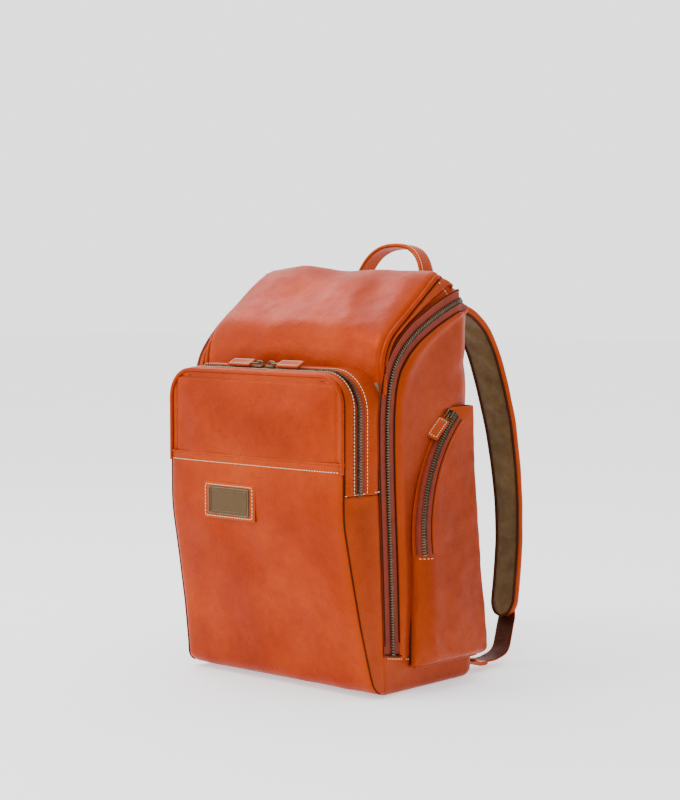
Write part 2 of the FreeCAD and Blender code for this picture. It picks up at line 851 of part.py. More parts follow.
def make_straps():
    start = "strap_middle - strap_width / 2"
    shift = 0.0
    anchor = Vector(size("strap_middle"), 0, strap_line[0][1])
    for name, thickness in (("leather", "strap_leather"), ("pad", "strap_pad"), ("lining", "strap_lining")):
        depth = size(thickness)
        path = shifted(strap_line, -(shift + depth / 2))
        layer = ribbon("strap_" + name, "YZ", path, thickness + " / 2", start, "strap_width")
        turned(layer, anchor, Vector(0, 1, 0), -size("strap_splay"))
        both_sides("strap_" + name, layer)
        shift += depth
    lower = ribbon("lower_strap", "YZ", lower_strap_line, "lower_strap_half",
                   "lower_strap_inner", "lower_strap_width")
    both_sides("lower_strap", lower)
    tab = block("strap_tab_right",
                ("lower_strap_inner - 2", "body_depth / 2", "4"),
                ("lower_strap_width + 4", "32", "5"))
    keep("strap_tabs", group("strap_tabs", [tab, mirrored("strap_tab_left", tab)]))


# ---------------------------------------------------------------- make, test, write

make_base()
make_back()
make_sides()
make_main_zip()
make_hood()
make_front_pocket()
make_plaque()
make_flap()
make_side_pockets()
make_sliders()
make_handle()
make_straps()
doc.recompute()

faults = []
for item in doc.Objects:
    if "Invalid" in item.State or "Error" in item.State:
        faults.append("%s is %s" % (item.Name, item.State))
for name, item in nodes.items():
    if item.Shape.isNull() or not item.Shape.isValid():
        faults.append("%s has no valid shape" % name)
if faults:
    raise RuntimeError("\n".join(faults))

os.makedirs("parts", exist_ok=True)
for name, item in nodes.items():
    item.Shape.exportStep(os.path.join("parts", name + ".step"))
    box = item.Shape.BoundBox
    print("%-24s %2d solids %9.1f mm3  x %7.1f %7.1f  y %7.1f %7.1f  z %7.1f %7.1f" % (
        name, len(item.Shape.Solids), item.Shape.Volume,
        box.XMin, box.XMax, box.YMin, box.YMax, box.ZMin, box.ZMax))
print("%d sub-parts; side zip centre %.3f %.3f radius %.3f, angles %.2f to %.2f" % (
    len(nodes), side_zip_centre[0], side_zip_centre[1], side_zip_radius,
    side_zip_angle(SIDE_ZIP_START), side_zip_angle(SIDE_ZIP_END)))
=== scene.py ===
import json
import math

import bpy
import numpy as np
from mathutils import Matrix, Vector, noise


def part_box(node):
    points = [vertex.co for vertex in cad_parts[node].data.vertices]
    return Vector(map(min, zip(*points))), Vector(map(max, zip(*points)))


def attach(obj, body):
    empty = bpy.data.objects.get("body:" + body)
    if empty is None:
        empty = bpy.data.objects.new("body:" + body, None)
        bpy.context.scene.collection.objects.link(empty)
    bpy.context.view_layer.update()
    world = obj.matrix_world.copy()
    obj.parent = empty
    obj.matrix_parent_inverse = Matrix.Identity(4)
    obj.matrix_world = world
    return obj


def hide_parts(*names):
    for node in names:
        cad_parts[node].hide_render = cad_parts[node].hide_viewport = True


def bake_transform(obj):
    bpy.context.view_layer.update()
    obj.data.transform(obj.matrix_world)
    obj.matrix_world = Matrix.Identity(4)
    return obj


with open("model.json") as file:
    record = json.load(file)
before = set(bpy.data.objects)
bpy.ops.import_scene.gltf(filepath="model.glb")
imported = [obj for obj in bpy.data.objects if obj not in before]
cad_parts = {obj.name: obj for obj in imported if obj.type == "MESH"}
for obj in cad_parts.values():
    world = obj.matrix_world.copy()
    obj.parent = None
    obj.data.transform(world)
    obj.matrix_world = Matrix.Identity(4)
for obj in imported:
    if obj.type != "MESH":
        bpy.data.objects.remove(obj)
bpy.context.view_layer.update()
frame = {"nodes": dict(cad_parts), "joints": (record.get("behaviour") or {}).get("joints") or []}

# Lengths in this script are in millimetres and become metres when a mesh is made.
MM = 0.001


def span(node):
    """Lowest and highest corner of a CAD node, in millimetres."""
    low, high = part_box(node)
    return np.array(low) / MM, np.array(high) / MM


# ---------------------------------------------------------------- places, read from the frame

HALF_WIDTH = span("base_panel")[1][0]
REAR = span("base_panel")[1][1]
FRONT = span("base_panel")[0][1]
RIDGE = span("hood_panel")[1]
FACE = span("slip_pocket_panel")[0][1]
SLIP_TOP = 250.0 + span("slip_pocket_panel")[1][2] - 251.2
POCKET_TOP = span("pocket_ceiling")[1][2]
BACK_TOP = span("back_panel")[1][2]
JOINTS = {joint["name"]: joint for joint in frame["joints"]}
SIDE_ZIP_CENTRE = np.array(JOINTS["side_right_zip_run"]["pos_m"]) / MM


# ---------------------------------------------------------------- lines and meshes

def unit(vector):
    length = np.linalg.norm(vector)
    return vector / length if length > 1e-12 else vector


def resample(points, count):
    """The same line, with this many evenly spaced points."""
    points = np.asarray(points, float)
    steps = np.linalg.norm(np.diff(points, axis=0), axis=1)
    at = np.concatenate(([0.0], np.cumsum(steps)))
    wanted = np.linspace(0.0, at[-1], count)
    return np.stack([np.interp(wanted, at, points[:, k]) for k in range(points.shape[1])], 1)


def length_of(points):
    return float(np.linalg.norm(np.diff(points, axis=0), axis=1).sum())


def route(corners, count):
    """Straight runs joined by tangent arcs. A corner is a point, or (point, radius)."""
    points = []
    radii = []
    for corner in corners:
        bent = len(corner) == 2 and hasattr(corner[0], "__len__")
        points.append(np.array(corner[0] if bent else corner, float))
        radii.append(corner[1] if bent else 0.0)
    line = [points[0]]
    for index in range(1, len(points) - 1):
        before = unit(points[index] - points[index - 1])
        after = unit(points[index + 1] - points[index])
        turn = math.acos(max(-1.0, min(1.0, float(before @ after))))
        radius = radii[index]
        if radius <= 0 or turn < 1e-3:
            line.append(points[index])
            continue
        inward = unit(after - before)
        centre = points[index] + inward * radius / math.cos(turn / 2)
        start = points[index] - before * radius * math.tan(turn / 2)
        arm = unit(start - centre)
        for share in np.linspace(0, 1, 13):
            angle = turn * share
            line.append(centre + radius * (arm * math.cos(angle) + before * math.sin(angle)))
    line.append(points[-1])
    return resample(line, count)


def wobble(point, size, seed=0.0):
    """Smooth noise from -1 to 1 whose lumps are about this many millimetres across."""
    return noise.noise(Vector((point[0] / size + seed, point[1] / size, point[2] / size - seed)))


def smooth(value, low, high):
    share = min(1.0, max(0.0, (value - low) / (high - low)))
    return share * share * (3 - 2 * share)


def new_object(name, vertices, faces, looks, face_looks=None, flat=False):
    mesh = bpy.data.meshes.new(name)
    mesh.from_pydata([tuple(v) for v in np.asarray(vertices) * MM], [], faces)
    for look in looks:
        mesh.materials.append(look)
    if face_looks is not None:
        mesh.polygons.foreach_set("material_index", face_looks)
    mesh.polygons.foreach_set("use_smooth", [not flat] * len(mesh.polygons))
    mesh.update()
    piece = bpy.data.objects.new(name, mesh)
    bpy.context.scene.collection.objects.link(piece)
    return piece


def subdivided(piece, levels=1):
    """Applies a subdivision surface, so that the mesh itself is the final one."""
    if levels < 1:
        return piece
    modifier = piece.modifiers.new("subdivision", "SUBSURF")
    modifier.levels = levels
    modifier.render_levels = levels
    ready = bpy.context.evaluated_depsgraph_get()
    mesh = bpy.data.meshes.new_from_object(piece.evaluated_get(ready))
    piece.modifiers.clear()
    piece.data = mesh
    return piece


def grid_normals(grid, inside):
    across = np.gradient(grid, axis=0)
    along = np.gradient(grid, axis=1)
    normals = np.cross(across, along)
    lengths = np.linalg.norm(normals, axis=2, keepdims=True)
    normals = normals / np.maximum(lengths, 1e-9)
    if np.sum(normals * (grid - np.asarray(inside, float))) < 0:
        return -normals, True
    return normals, False


def sheet(name, rows, looks, inside, thickness=2.2, relief=None, levels=1):
    """A sheet through rows of points, thickened towards the inside.

    relief gives how far each point is raised, from its place and its shares of the
    way across and along. The second look, if there is one, is the sheet's inner side.
    """
    grid = np.asarray(rows, float)
    count_u, count_v = grid.shape[:2]
    normals, flipped = grid_normals(grid, inside)
    if relief is not None:
        for i in range(count_u):
            for j in range(count_v):
                lift = relief(grid[i, j], i / (count_u - 1), j / (count_v - 1))
                grid[i, j] += normals[i, j] * lift
        normals, flipped = grid_normals(grid, inside)
    outer = grid.reshape(-1, 3)
    inner = (grid - normals * thickness).reshape(-1, 3)
    total = count_u * count_v
    faces = []
    kinds = []

    def add(face, kind):
        faces.append(face[::-1] if flipped else face)
        kinds.append(kind)

    for i in range(count_u - 1):
        for j in range(count_v - 1):
            a = i * count_v + j
            b = a + count_v
            add((a, b, b + 1, a + 1), 0)
            add((total + a, total + a + 1, total + b + 1, total + b), 1 if len(looks) > 1 else 0)
    edge = [i * count_v for i in range(count_u)]
    edge += [(count_u - 1) * count_v + j for j in range(1, count_v)]
    edge += [i * count_v + count_v - 1 for i in range(count_u - 2, -1, -1)]
    edge += list(range(count_v - 2, 0, -1))
    for here, there in zip(edge, edge[1:] + edge[:1]):
        add((here, total + here, total + there, there), 0)
    piece = new_object(name, np.vstack((outer, inner)), faces, looks, kinds)
    # closeness to the sheet's edge, which the leather uses to paint a highlight along its rolled edges
    near = rim_share(grid).reshape(-1)
    layer = piece.data.attributes.new("rim", "FLOAT", "POINT")
    layer.data.foreach_set("value", np.concatenate((near, near)).astype(np.float32))
    return subdivided(piece, levels)


def rim_share(grid, reach=16.0):
    """How close each point of a grid is to the sheet's nearest edge: 1 on it, 0 well inside."""
    def travelled(axis):
        steps = np.linalg.norm(np.diff(grid, axis=axis), axis=2)
        start = np.zeros_like(np.take(grid, [0], axis=axis)[..., 0])
        there = np.concatenate((start, np.cumsum(steps, axis=axis)), axis=axis)
        return np.minimum(there, np.take(there, [-1], axis=axis) - there)

    return np.exp(-(np.minimum(travelled(0), travelled(1)) / reach) ** 1.5)


def frames_along(path, normals):
    tangents = np.gradient(path, axis=0)
    tangents = tangents / np.maximum(np.linalg.norm(tangents, axis=1, keepdims=True), 1e-9)
    sides = np.cross(normals, tangents)
    sides = sides / np.maximum(np.linalg.norm(sides, axis=1, keepdims=True), 1e-9)
    return tangents, sides


def tube(name, path, radius, look, sides=8, flatten=1.0, up=(0.31, 0.17, 0.93)):
    """A round cord, such as piping, along a line."""
    path = np.asarray(path, float)
    tangents = np.gradient(path, axis=0)
    tangents = tangents / np.maximum(np.linalg.norm(tangents, axis=1, keepdims=True), 1e-9)
    normal = unit(np.cross(tangents[0], np.array(up)))
    vertices = []
    for point, tangent in zip(path, tangents):
        normal = unit(normal - tangent * float(normal @ tangent))
        other = np.cross(tangent, normal)
        for k in range(sides):
            angle = 2 * math.pi * k / sides
            vertices.append(point + radius * (normal * math.cos(angle) * flatten
                                              + other * math.sin(angle)))
    faces = []
    for i in range(len(path) - 1):
        for k in range(sides):
            a = i * sides + k
            b = i * sides + (k + 1) % sides
            faces.append((a, b, b + sides, a + sides))
    faces.append(tuple(range(sides))[::-1])
    faces.append(tuple(range((len(path) - 1) * sides, len(path) * sides)))
    return subdivided(new_object(name, vertices, faces, [look]), 0)


def stitches(name, rows, pitch=3.7, long=2.6, radius=0.45):
    """Cream thread along one or more lines: each row is (points, normals)."""
    vertices = []
    faces = []
    for path, normals in rows:
        path = np.asarray(path, float)
        normals = np.broadcast_to(np.asarray(normals, float), path.shape)
        count = max(2, int(length_of(path) / pitch))
        both = resample(np.hstack((path, normals)), 2 * count + 1)[1::2]
        tangents, _ = frames_along(resample(path, 2 * count + 1), np.ones((2 * count + 1, 3)))
        tangents = tangents[1::2]
        for place, tangent in zip(both, tangents):
            point = place[:3]
            normal = unit(place[3:])
            side = unit(np.cross(normal, tangent))
            first = len(vertices)
            for along, share in ((-0.5, 0.35), (-0.3, 0.95), (0.3, 0.95), (0.5, 0.35)):
                for k in range(6):
                    angle = math.pi * k / 3
                    vertices.append(point + tangent * along * long
                                    + radius * share * (normal * math.cos(angle)
                                                        + side * math.sin(angle)))
            for ring in range(3):
                for k in range(6):
                    a = first + ring * 6 + k
                    b = first + ring * 6 + (k + 1) % 6
                    faces.append((a, b, b + 6, a + 6))
            faces.append(tuple(first + k for k in range(5, -1, -1)))
            faces.append(tuple(first + 18 + k for k in range(6)))
    return new_object(name, vertices, faces, [THREAD])


def teeth(name, path, normals, sign, phase, raise_by=0.6):
    """One half of a zip's metal teeth; sign says which side of the line they grip."""
    pitch = 2.9
    count = int(length_of(path) / pitch)
    both = resample(np.hstack((path, normals)), 2 * count + 1)
    tangents, _ = frames_along(both[:, :3], both[:, 3:])
    vertices = []
    faces = []
    for index in range(phase, 2 * count + 1, 2):
        point = both[index, :3]
        normal = unit(both[index, 3:])
        tangent = tangents[index]
        side = unit(np.cross(normal, tangent)) * sign
        base = len(vertices)
        for height, near, far, half in ((0.0, -1.1, 3.1, 0.8), (1.5, -0.9, 2.8, 0.5)):
            for across, along in ((near, -half), (far, -half), (far, half), (near, half)):
                vertices.append(point + side * across + tangent * along
                                + normal * (raise_by + height))
        faces.append((base, base + 1, base + 2, base + 3))
        faces.append((base + 7, base + 6, base + 5, base + 4))
        for k in range(4):
            n = (k + 1) % 4
            faces.append((base + k, base + 4 + k, base + 4 + n, base + n))
    return new_object(name, vertices, faces, [TEETH], flat=True)


def tape(name, path, normals, near, far, look, body, slot="zip_tape"):
    """A strip of zip tape beside a line, from one distance to another."""
    _, sides = frames_along(path, normals)
    rows = [path + sides * share for share in np.linspace(near, far, 5)]
    outside = path + normals * -50.0
    piece = sheet(name, rows, [look], outside.mean(0), thickness=1.0, levels=0)
    return ride(piece, body, slot)


def ride(piece, body, slot, *nodes):
    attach(piece, body)
    if nodes:
        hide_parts(*nodes)
    return piece


# ---------------------------------------------------------------- materials

def node_tree(name):
    material = bpy.data.materials.new(name)
    material.use_nodes = True
    tree = material.node_tree
    tree.nodes.clear()
    output = tree.nodes.new("ShaderNodeOutputMaterial")
    shader = tree.nodes.new("ShaderNodeBsdfPrincipled")
    tree.links.new(shader.outputs[0], output.inputs[0])
    where = tree.nodes.new("ShaderNodeTexCoord")
    return material, tree, shader, where.outputs["Object"]


def noise_node(tree, where, scale, detail=4.0, roughness=0.55):
    node = tree.nodes.new("ShaderNodeTexNoise")
    node.inputs["Scale"].default_value = scale
    node.inputs["Detail"].default_value = detail
    node.inputs["Roughness"].default_value = roughness
    tree.links.new(where, node.inputs["Vector"])
    return node.outputs["Fac"]


def ramp(tree, value, stops):
    node = tree.nodes.new("ShaderNodeValToRGB")
    elements = node.color_ramp.elements
    while len(elements) < len(stops):
        elements.new(0.5)
    for element, (position, colour) in zip(elements, stops):
        element.position = position
        element.color = (*colour, 1.0)
    tree.links.new(value, node.inputs["Fac"])
    return node.outputs["Color"]


def mix(tree, factor, first, second, kind="MIX"):
    node = tree.nodes.new("ShaderNodeMix")
    node.data_type = "RGBA"
    node.blend_type = kind
    if isinstance(factor, float):
        node.inputs["Factor"].default_value = factor
    else:
        tree.links.new(factor, node.inputs["Factor"])
    for socket, value in ((node.inputs["A"], first), (node.inputs["B"], second)):
        if isinstance(value, tuple):
            socket.default_value = (*value, 1.0)
        else:
            tree.links.new(value, socket)
    return node.outputs["Result"]


def bump(tree, height, strength, distance, before=None):
    node = tree.nodes.new("ShaderNodeBump")
    node.inputs["Strength"].default_value = strength
    node.inputs["Distance"].default_value = distance
    tree.links.new(height, node.inputs["Height"])
    if before is not None:
        tree.links.new(before, node.inputs["Normal"])
    return node.outputs["Normal"]


def leather(name, deep, body, light, gloss=0.42, grain=0.35, edge_highlight=(0.36, 0.045, 0.004)):
    """Waxed full-grain leather: patina in three tones, pebble grain and fine creases.

    Near a sheet's edges the colour is mixed towards a brighter, more saturated orange: painted highlight
    where the rolled edges catch the light.
    """
    material, tree, shader, where = node_tree(name)
    patina = noise_node(tree, where, 9.0, 5.0, 0.55)
    tone = ramp(tree, patina, ((0.3, deep), (0.5, body), (0.72, light)))
    mottle = noise_node(tree, where, 120.0, 4.0, 0.6)
    spots = ramp(tree, mottle, ((0.35, (0.84, 0.80, 0.78)), (0.62, (1.0, 1.0, 1.0))))
    tone = mix(tree, 0.6, tone, spots, "MULTIPLY")
    # painted highlight: the rim attribute, high near each sheet's edge, mixes the colour towards a brighter
    # orange as if the rolled edges caught the light
    near = tree.nodes.new("ShaderNodeAttribute")
    near.attribute_name = "rim"
    edge_highlight_share = ramp(tree, near.outputs["Fac"], ((0.08, (0.0, 0.0, 0.0)), (0.9, (0.5, 0.5, 0.5))))
    tone = mix(tree, edge_highlight_share, tone, edge_highlight)
    worn = tree.nodes.new("ShaderNodeNewGeometry").outputs["Pointiness"]
    edge = ramp(tree, worn, ((0.52, (0.0, 0.0, 0.0)), (0.6, (0.45, 0.45, 0.45))))
    tone = mix(tree, edge, tone, light)
    tree.links.new(tone, shader.inputs["Base Color"])
    pebbles = tree.nodes.new("ShaderNodeTexVoronoi")
    pebbles.inputs["Scale"].default_value = 800.0
    tree.links.new(where, pebbles.inputs["Vector"])
    creases = noise_node(tree, where, 300.0, 6.0, 0.65)
    swell = noise_node(tree, where, 42.0, 4.0, 0.55)
    normal = bump(tree, swell, 0.42, 0.0018)
    normal = bump(tree, creases, grain, 0.0006, normal)
    normal = bump(tree, pebbles.outputs["Distance"], grain, 0.0004, normal)
    tree.links.new(normal, shader.inputs["Normal"])
    rough = ramp(tree, noise_node(tree, where, 55.0, 4.0),
                 ((0.3, (gloss - 0.08,) * 3), (0.7, (gloss + 0.08,) * 3)))
    tree.links.new(rough, shader.inputs["Roughness"])
    shader.inputs["Specular IOR Level"].default_value = 0.17
    shader.inputs["Specular Tint"].default_value = (1.0, 0.4, 0.2, 1.0)
    shader.inputs["Metallic"].default_value = 0.3
    return material


def woven(name, dark, light, pitch, rough=0.8, streaks=0.5, sheen=0.15):
    """Cloth: two crossing sets of threads, faded streaks and a soft surface."""
    material, tree, shader, where = node_tree(name)
    threads = []
    for direction in ("X", "Z"):
        wave = tree.nodes.new("ShaderNodeTexWave")
        wave.bands_direction = direction
        wave.inputs["Scale"].default_value = 0.314 / pitch
        wave.inputs["Distortion"].default_value = 0.6
        tree.links.new(where, wave.inputs["Vector"])
        threads.append(wave.outputs["Fac"])
    weave = mix(tree, 0.5, threads[0], threads[1])
    fade = noise_node(tree, where, 45.0, 6.0, 0.7)
    tone = ramp(tree, fade, ((0.3, dark), (0.72, light)))
    tone = mix(tree, streaks, tone, weave, "OVERLAY")
    tree.links.new(tone, shader.inputs["Base Color"])
    folds = noise_node(tree, where, 110.0, 4.0)
    normal = bump(tree, folds, 0.5, 0.0012)
    normal = bump(tree, weave, 0.5, 0.0003, normal)
    tree.links.new(normal, shader.inputs["Normal"])
    shader.inputs["Roughness"].default_value = rough
    shader.inputs["Sheen Weight"].default_value = sheen
    shader.inputs["Specular IOR Level"].default_value = 0.2
    return material


def metal(name, dark, light, rough):
    """Antique brass: a brown patina over a brighter metal, worn on its edges."""
    material, tree, shader, where = node_tree(name)
    tone = ramp(tree, noise_node(tree, where, 160.0, 5.0), ((0.3, dark), (0.7, light)))
    worn = tree.nodes.new("ShaderNodeNewGeometry").outputs["Pointiness"]
    edge = ramp(tree, worn, ((0.51, (0.0, 0.0, 0.0)), (0.6, (0.8, 0.8, 0.8))))
    tone = mix(tree, edge, tone, tuple(min(1.0, value * 1.7) for value in light))
    tree.links.new(tone, shader.inputs["Base Color"])
    spread = ramp(tree, noise_node(tree, where, 420.0, 3.0),
                  ((0.3, (rough - 0.08,) * 3), (0.7, (rough + 0.12,) * 3)))
    tree.links.new(spread, shader.inputs["Roughness"])
    normal = bump(tree, noise_node(tree, where, 900.0, 2.0), 0.12, 0.0001)
    tree.links.new(normal, shader.inputs["Normal"])
    shader.inputs["Metallic"].default_value = 1.0
    return material


def thread(name, colour):
    """Twisted waxed thread."""
    material, tree, shader, where = node_tree(name)
    twist = tree.nodes.new("ShaderNodeTexWave")
    twist.bands_direction = "DIAGONAL"
    twist.inputs["Scale"].default_value = 420.0
    tree.links.new(where, twist.inputs["Vector"])
    tone = mix(tree, twist.outputs["Fac"], tuple(v * 0.78 for v in colour), colour)
    tree.links.new(tone, shader.inputs["Base Color"])
    tree.links.new(bump(tree, twist.outputs["Fac"], 0.4, 0.0002), shader.inputs["Normal"])
    shader.inputs["Roughness"].default_value = 0.65
    return material


LEATHER = leather("cognac_leather", (0.215, 0.0175, 0.0016), (0.285, 0.026, 0.0026),
                  (0.37, 0.044, 0.006), 0.34)
SIDE_LEATHER = leather("side_leather", (0.20, 0.0225, 0.0052), (0.26, 0.0325, 0.0085),
                       (0.315, 0.045, 0.013), 0.37)
TRIM = leather("trim_leather", (0.22, 0.022, 0.004), (0.28, 0.032, 0.006), (0.36, 0.052, 0.012), 0.4)
BINDING = leather("binding_leather", (0.024, 0.006, 0.003), (0.042, 0.010, 0.005),
                  (0.065, 0.018, 0.009), 0.5, 0.35, (0.05, 0.013, 0.006))
TAPE = woven("zip_tape_weave", (0.15, 0.016, 0.006), (0.21, 0.026, 0.010), 0.0009, 0.6, 0.2, 0.0)
CANVAS = woven("waxed_canvas", (0.080, 0.044, 0.013), (0.175, 0.104, 0.036), 0.0011, 0.8, 0.35)
LINING = woven("lining_twill", (0.10, 0.062, 0.030), (0.17, 0.115, 0.062), 0.0008, 0.85, 0.3)
TEETH = metal("zip_teeth_brass", (0.030, 0.021, 0.013), (0.125, 0.090, 0.055), 0.34)
BRASS = metal("antique_brass", (0.030, 0.021, 0.013), (0.12, 0.086, 0.050), 0.34)
PLATE = metal("plaque_brass", (0.033, 0.0205, 0.0095), (0.064, 0.040, 0.020), 0.42)
THREAD = thread("cream_thread", (0.85, 0.66, 0.42))
# painted shadow: a dark leather for thin tubes laid in seams and grooves, standing in for the shade in those
# gaps
PAINTED_SEAM_SHADOW = leather("seam_shadow", (0.022, 0.005, 0.002), (0.035, 0.008, 0.003), (0.05, 0.012, 0.005),
               0.7, 0.2, (0.03, 0.007, 0.003))

# ---------------------------------------------------------------- the main zip's line

ZIP_LINE = [
    (-65.5, 44.0), (-66.5, 70.0), (-69.5, 142.0), (-73.4, 216.0), (-75.0, 260.0), (-75.0, 300.0),
    (-72.0, 327.0), (-64.6, 350.0), (-48.0, 369.5), (-27.1, 385.2), (3.9, 401.4), (26.8, 411.0),
    (44.0, 417.0),
]
SLOPE = math.radians(33.6)
SLOPE_NORMAL = np.array([0.0, math.sin(SLOPE), math.cos(SLOPE)])


def slope_point(x, distance, lift=0.0):
    """A point on the slope behind the ridge, this far down it."""
    y = 19.0 + distance * math.cos(SLOPE)
    z = 448.5 - distance * math.sin(SLOPE)
    return np.array([x, y, z]) + SLOPE_NORMAL * lift


def zip_depth(z):
    """How far back the main zip's teeth are at a height on the bag's side."""
    return float(np.interp(z, [point[1] for point in ZIP_LINE], [point[0] for point in ZIP_LINE]))


def main_zip_side(sign, count=150):
    """The zip up one side and round to the middle of the back, with its outward normals."""
    x = HALF_WIDTH - 0.6
    top = slope_point(0.0, 54.6, 0.4)
    corners = [(x, y, z) for y, z in ZIP_LINE]
    corners += [((x - 0.5, top[1], top[2]), 24.0), (0.0, top[1], top[2])]
    path = route(corners, count)
    for _ in range(6):
        path[1:-1] = (path[:-2] + 2 * path[1:-1] + path[2:]) / 4
    path[:, 0] *= sign
    normals = []
    for point in path:
        share = smooth(abs(point[0]), HALF_WIDTH - 16.0, HALF_WIDTH - 1.5)
        normals.append(unit(np.array([sign, 0.0, 0.0]) * share + SLOPE_NORMAL * (1 - share)))
    return path, np.array(normals)


def make_main_zip():
    for sign, side in ((1, "right"), (-1, "left")):
        path, normals = main_zip_side(sign)
        to_shell = sign
        tape("rear_tape_" + side, path, normals, -0.6 * sign, -13.5 * sign, TAPE, "bag")
        tape("shell_tape_" + side, path, normals, 0.6 * sign, 13.0 * sign, TAPE, "front_shell")
        ride(teeth("rear_teeth_" + side, path, normals, -to_shell, 0), "bag", "brass")
        ride(teeth("shell_teeth_" + side, path, normals, to_shell, 1), "front_shell", "brass")
        _, sides = frames_along(path, normals)
        # painted shadow: dark tubes in the gaps between the zip tape and the leather
        for name, reach, body in (("rear", -11.2, "bag"), ("shell", 12.4, "front_shell")):
            upright = [index for index in range(3, len(path)) if abs(path[index][0]) > HALF_WIDTH - 3.0]
            line = (path + sides * sign * reach + normals * 0.7)[upright]
            ride(seam("%s_tape_seam_%s" % (name, side), line), body, "leather")
    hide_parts("rear_zip_tape")
    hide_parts("shell_zip_tape")


# ---------------------------------------------------------------- base

def base_top(y):
    """Height of the base tray's sewn edge."""
    if y < 0:
        return 35.0 + 11.0 * (-y / 80.0) ** 1.3
    return 35.0 + 5.0 * (y / 78.0) ** 1.5


def plan_loop(inset, count):
    """The base's outline in plan, drawn in by an inset; it starts at the back's middle."""
    w = HALF_WIDTH - inset
    front = FRONT + inset
    rear = REAR - inset
    front_radius = max(1.0, 3.0 - inset)
    rear_radius = max(1.0, 18.0 - inset)
    corners = [
        (0.0, rear, 0.0),
        ((-w, rear, 0.0), rear_radius),
        ((-w, front, 0.0), front_radius),
        ((w, front, 0.0), front_radius),
        ((w, rear, 0.0), rear_radius),
        (0.0, rear, 0.0),
    ]
    return route(corners, count)


def make_base():
    count = 220
    bend = 11.0
    rows = []
    for inset in (76.0, 50.0, 28.0, 16.0):
        rows.append(plan_loop(inset, count))
    for angle in np.linspace(0, 90, 6):
        turn = math.radians(angle)
        loop = plan_loop(bend * (1 - math.sin(turn)) + 0.6, count)
        loop[:, 2] = bend * (1 - math.cos(turn))
        rows.append(loop)
    wall = plan_loop(0.6, count)
    for share in (0.25, 0.5, 0.75, 0.93, 1.0):
        loop = wall.copy()
        loop[:, 2] = [bend + (base_top(point[1]) - bend) * share for point in wall]
        rows.append(loop)

    def relief(point, u, v):
        lift = 0.5 * wobble(point, 34.0, 3.1)
        return lift * smooth(point[2], 4.0, 14.0)

    tray = sheet("base_tray", rows, [SIDE_LEATHER, LINING], (0, 0, 200), 2.4, relief)
    ride(tray, "bag", "leather", "base_panel", "base_wrap")
    lines = []
    for sign in (1, -1):
        ys = np.linspace(FRONT + 5.0, REAR - 26.0, 60)
        line = [(sign * (HALF_WIDTH + 0.1), y, base_top(y) - 3.2) for y in ys]
        lines.append((line, (sign, 0, 0)))
    ride(stitches("base_stitching", lines), "bag", "leather")
    # painted shadow: dark tubes along the gap where the base tray meets the sides
    for sign, side in ((1, "right"), (-1, "left")):
        ys = np.linspace(FRONT + 2.0, REAR - 20.0, 60)
        line = [(sign * (HALF_WIDTH + 0.2), y, base_top(y) + 0.3) for y in ys]
        ride(seam("base_seam_shadow_" + side, line), "bag", "leather")
    board = frame["nodes"]["base_board"]
    for slot in board.material_slots:
        slot.material = LINING


# ---------------------------------------------------------------- sides and back

def corner_radius(z):
    """The bag's rear upright edges are rounder above than at the base."""
    return float(np.interp(z, (40, 200), (18, 38)))


def corner_fall(y, z):
    """How far the bag's side has curved in towards the back."""
    radius = corner_radius(z)
    behind = min(radius, max(0.0, y - (REAR - radius)))
    return radius - math.sqrt(radius ** 2 - behind ** 2)


def side_depth(y, z, sign):
    """How far out the bag's side stands at a height and depth."""
    fall = corner_fall(y, z)
    swell = 3.4 * smooth(y, -66.0, -40.0) * smooth(z, 36.0, 120.0) * smooth(420.0 - z, 12.0, 70.0)
    return sign * (HALF_WIDTH - fall + swell * (1 - smooth(y, 40.0, 78.0)))


def make_sides():
    for sign, side in ((1, "right"), (-1, "left")):
        path, normals = main_zip_side(sign, 200)
        _, sides = frames_along(path, normals)
        edge = path - sides * sign * 10.6
        keep = [k for k in range(len(edge)) if edge[k][1] < 44.0 and abs(edge[k][0]) > HALF_WIDTH - 4]
        front_edge = resample(edge[keep][:, 1:], 70)
        front_edge[0, 1] = base_top(front_edge[0, 0]) - 5.0
        rear_edge = resample([(REAR, base_top(REAR) - 5.0), (REAR, BACK_TOP - 4.0)], 70)
        rows = []
        for near, far in zip(front_edge, rear_edge):
            row = []
            for share in np.linspace(0, 1, 40):
                eased = math.sin(share * math.pi / 2) ** 1.15
                y = near[0] + (far[0] - near[0]) * eased
                z = near[1] + (far[1] - near[1]) * eased
                x = side_depth(y, z, sign)
                row.append((x + sign * 1.4 * (1 - smooth(share, 0.02, 0.12)), y, z))
            rows.append(row)

        def relief(point, u, v, sign=sign, edge=front_edge):
            inward = point[1] - edge[min(69, int(u * 69 + 0.5))][0]
            roll = -3.4 * (1 - smooth(inward, 0.0, 4.0)) + 1.6 * math.exp(-((inward - 9.0) / 5.0) ** 2)
            creases = 1.7 * wobble(point, 46.0, 7.7 * sign) + 0.6 * wobble(point, 17.0, 2.2)
            fold = 1.8 * math.exp(-((point[2] - 318.0 - 0.5 * point[1]) / 9.0) ** 2)
            fold *= smooth(point[1], 10.0, 60.0)
            return roll + creases * smooth(v, 0.05, 0.3) - fold

        wall = sheet("side_wall_" + side, rows, [SIDE_LEATHER, LINING],
                     (0, 0, 220), 2.2, relief)
        ride(wall, "bag", "leather", "side_panel_" + side)
    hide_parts("side_linings")


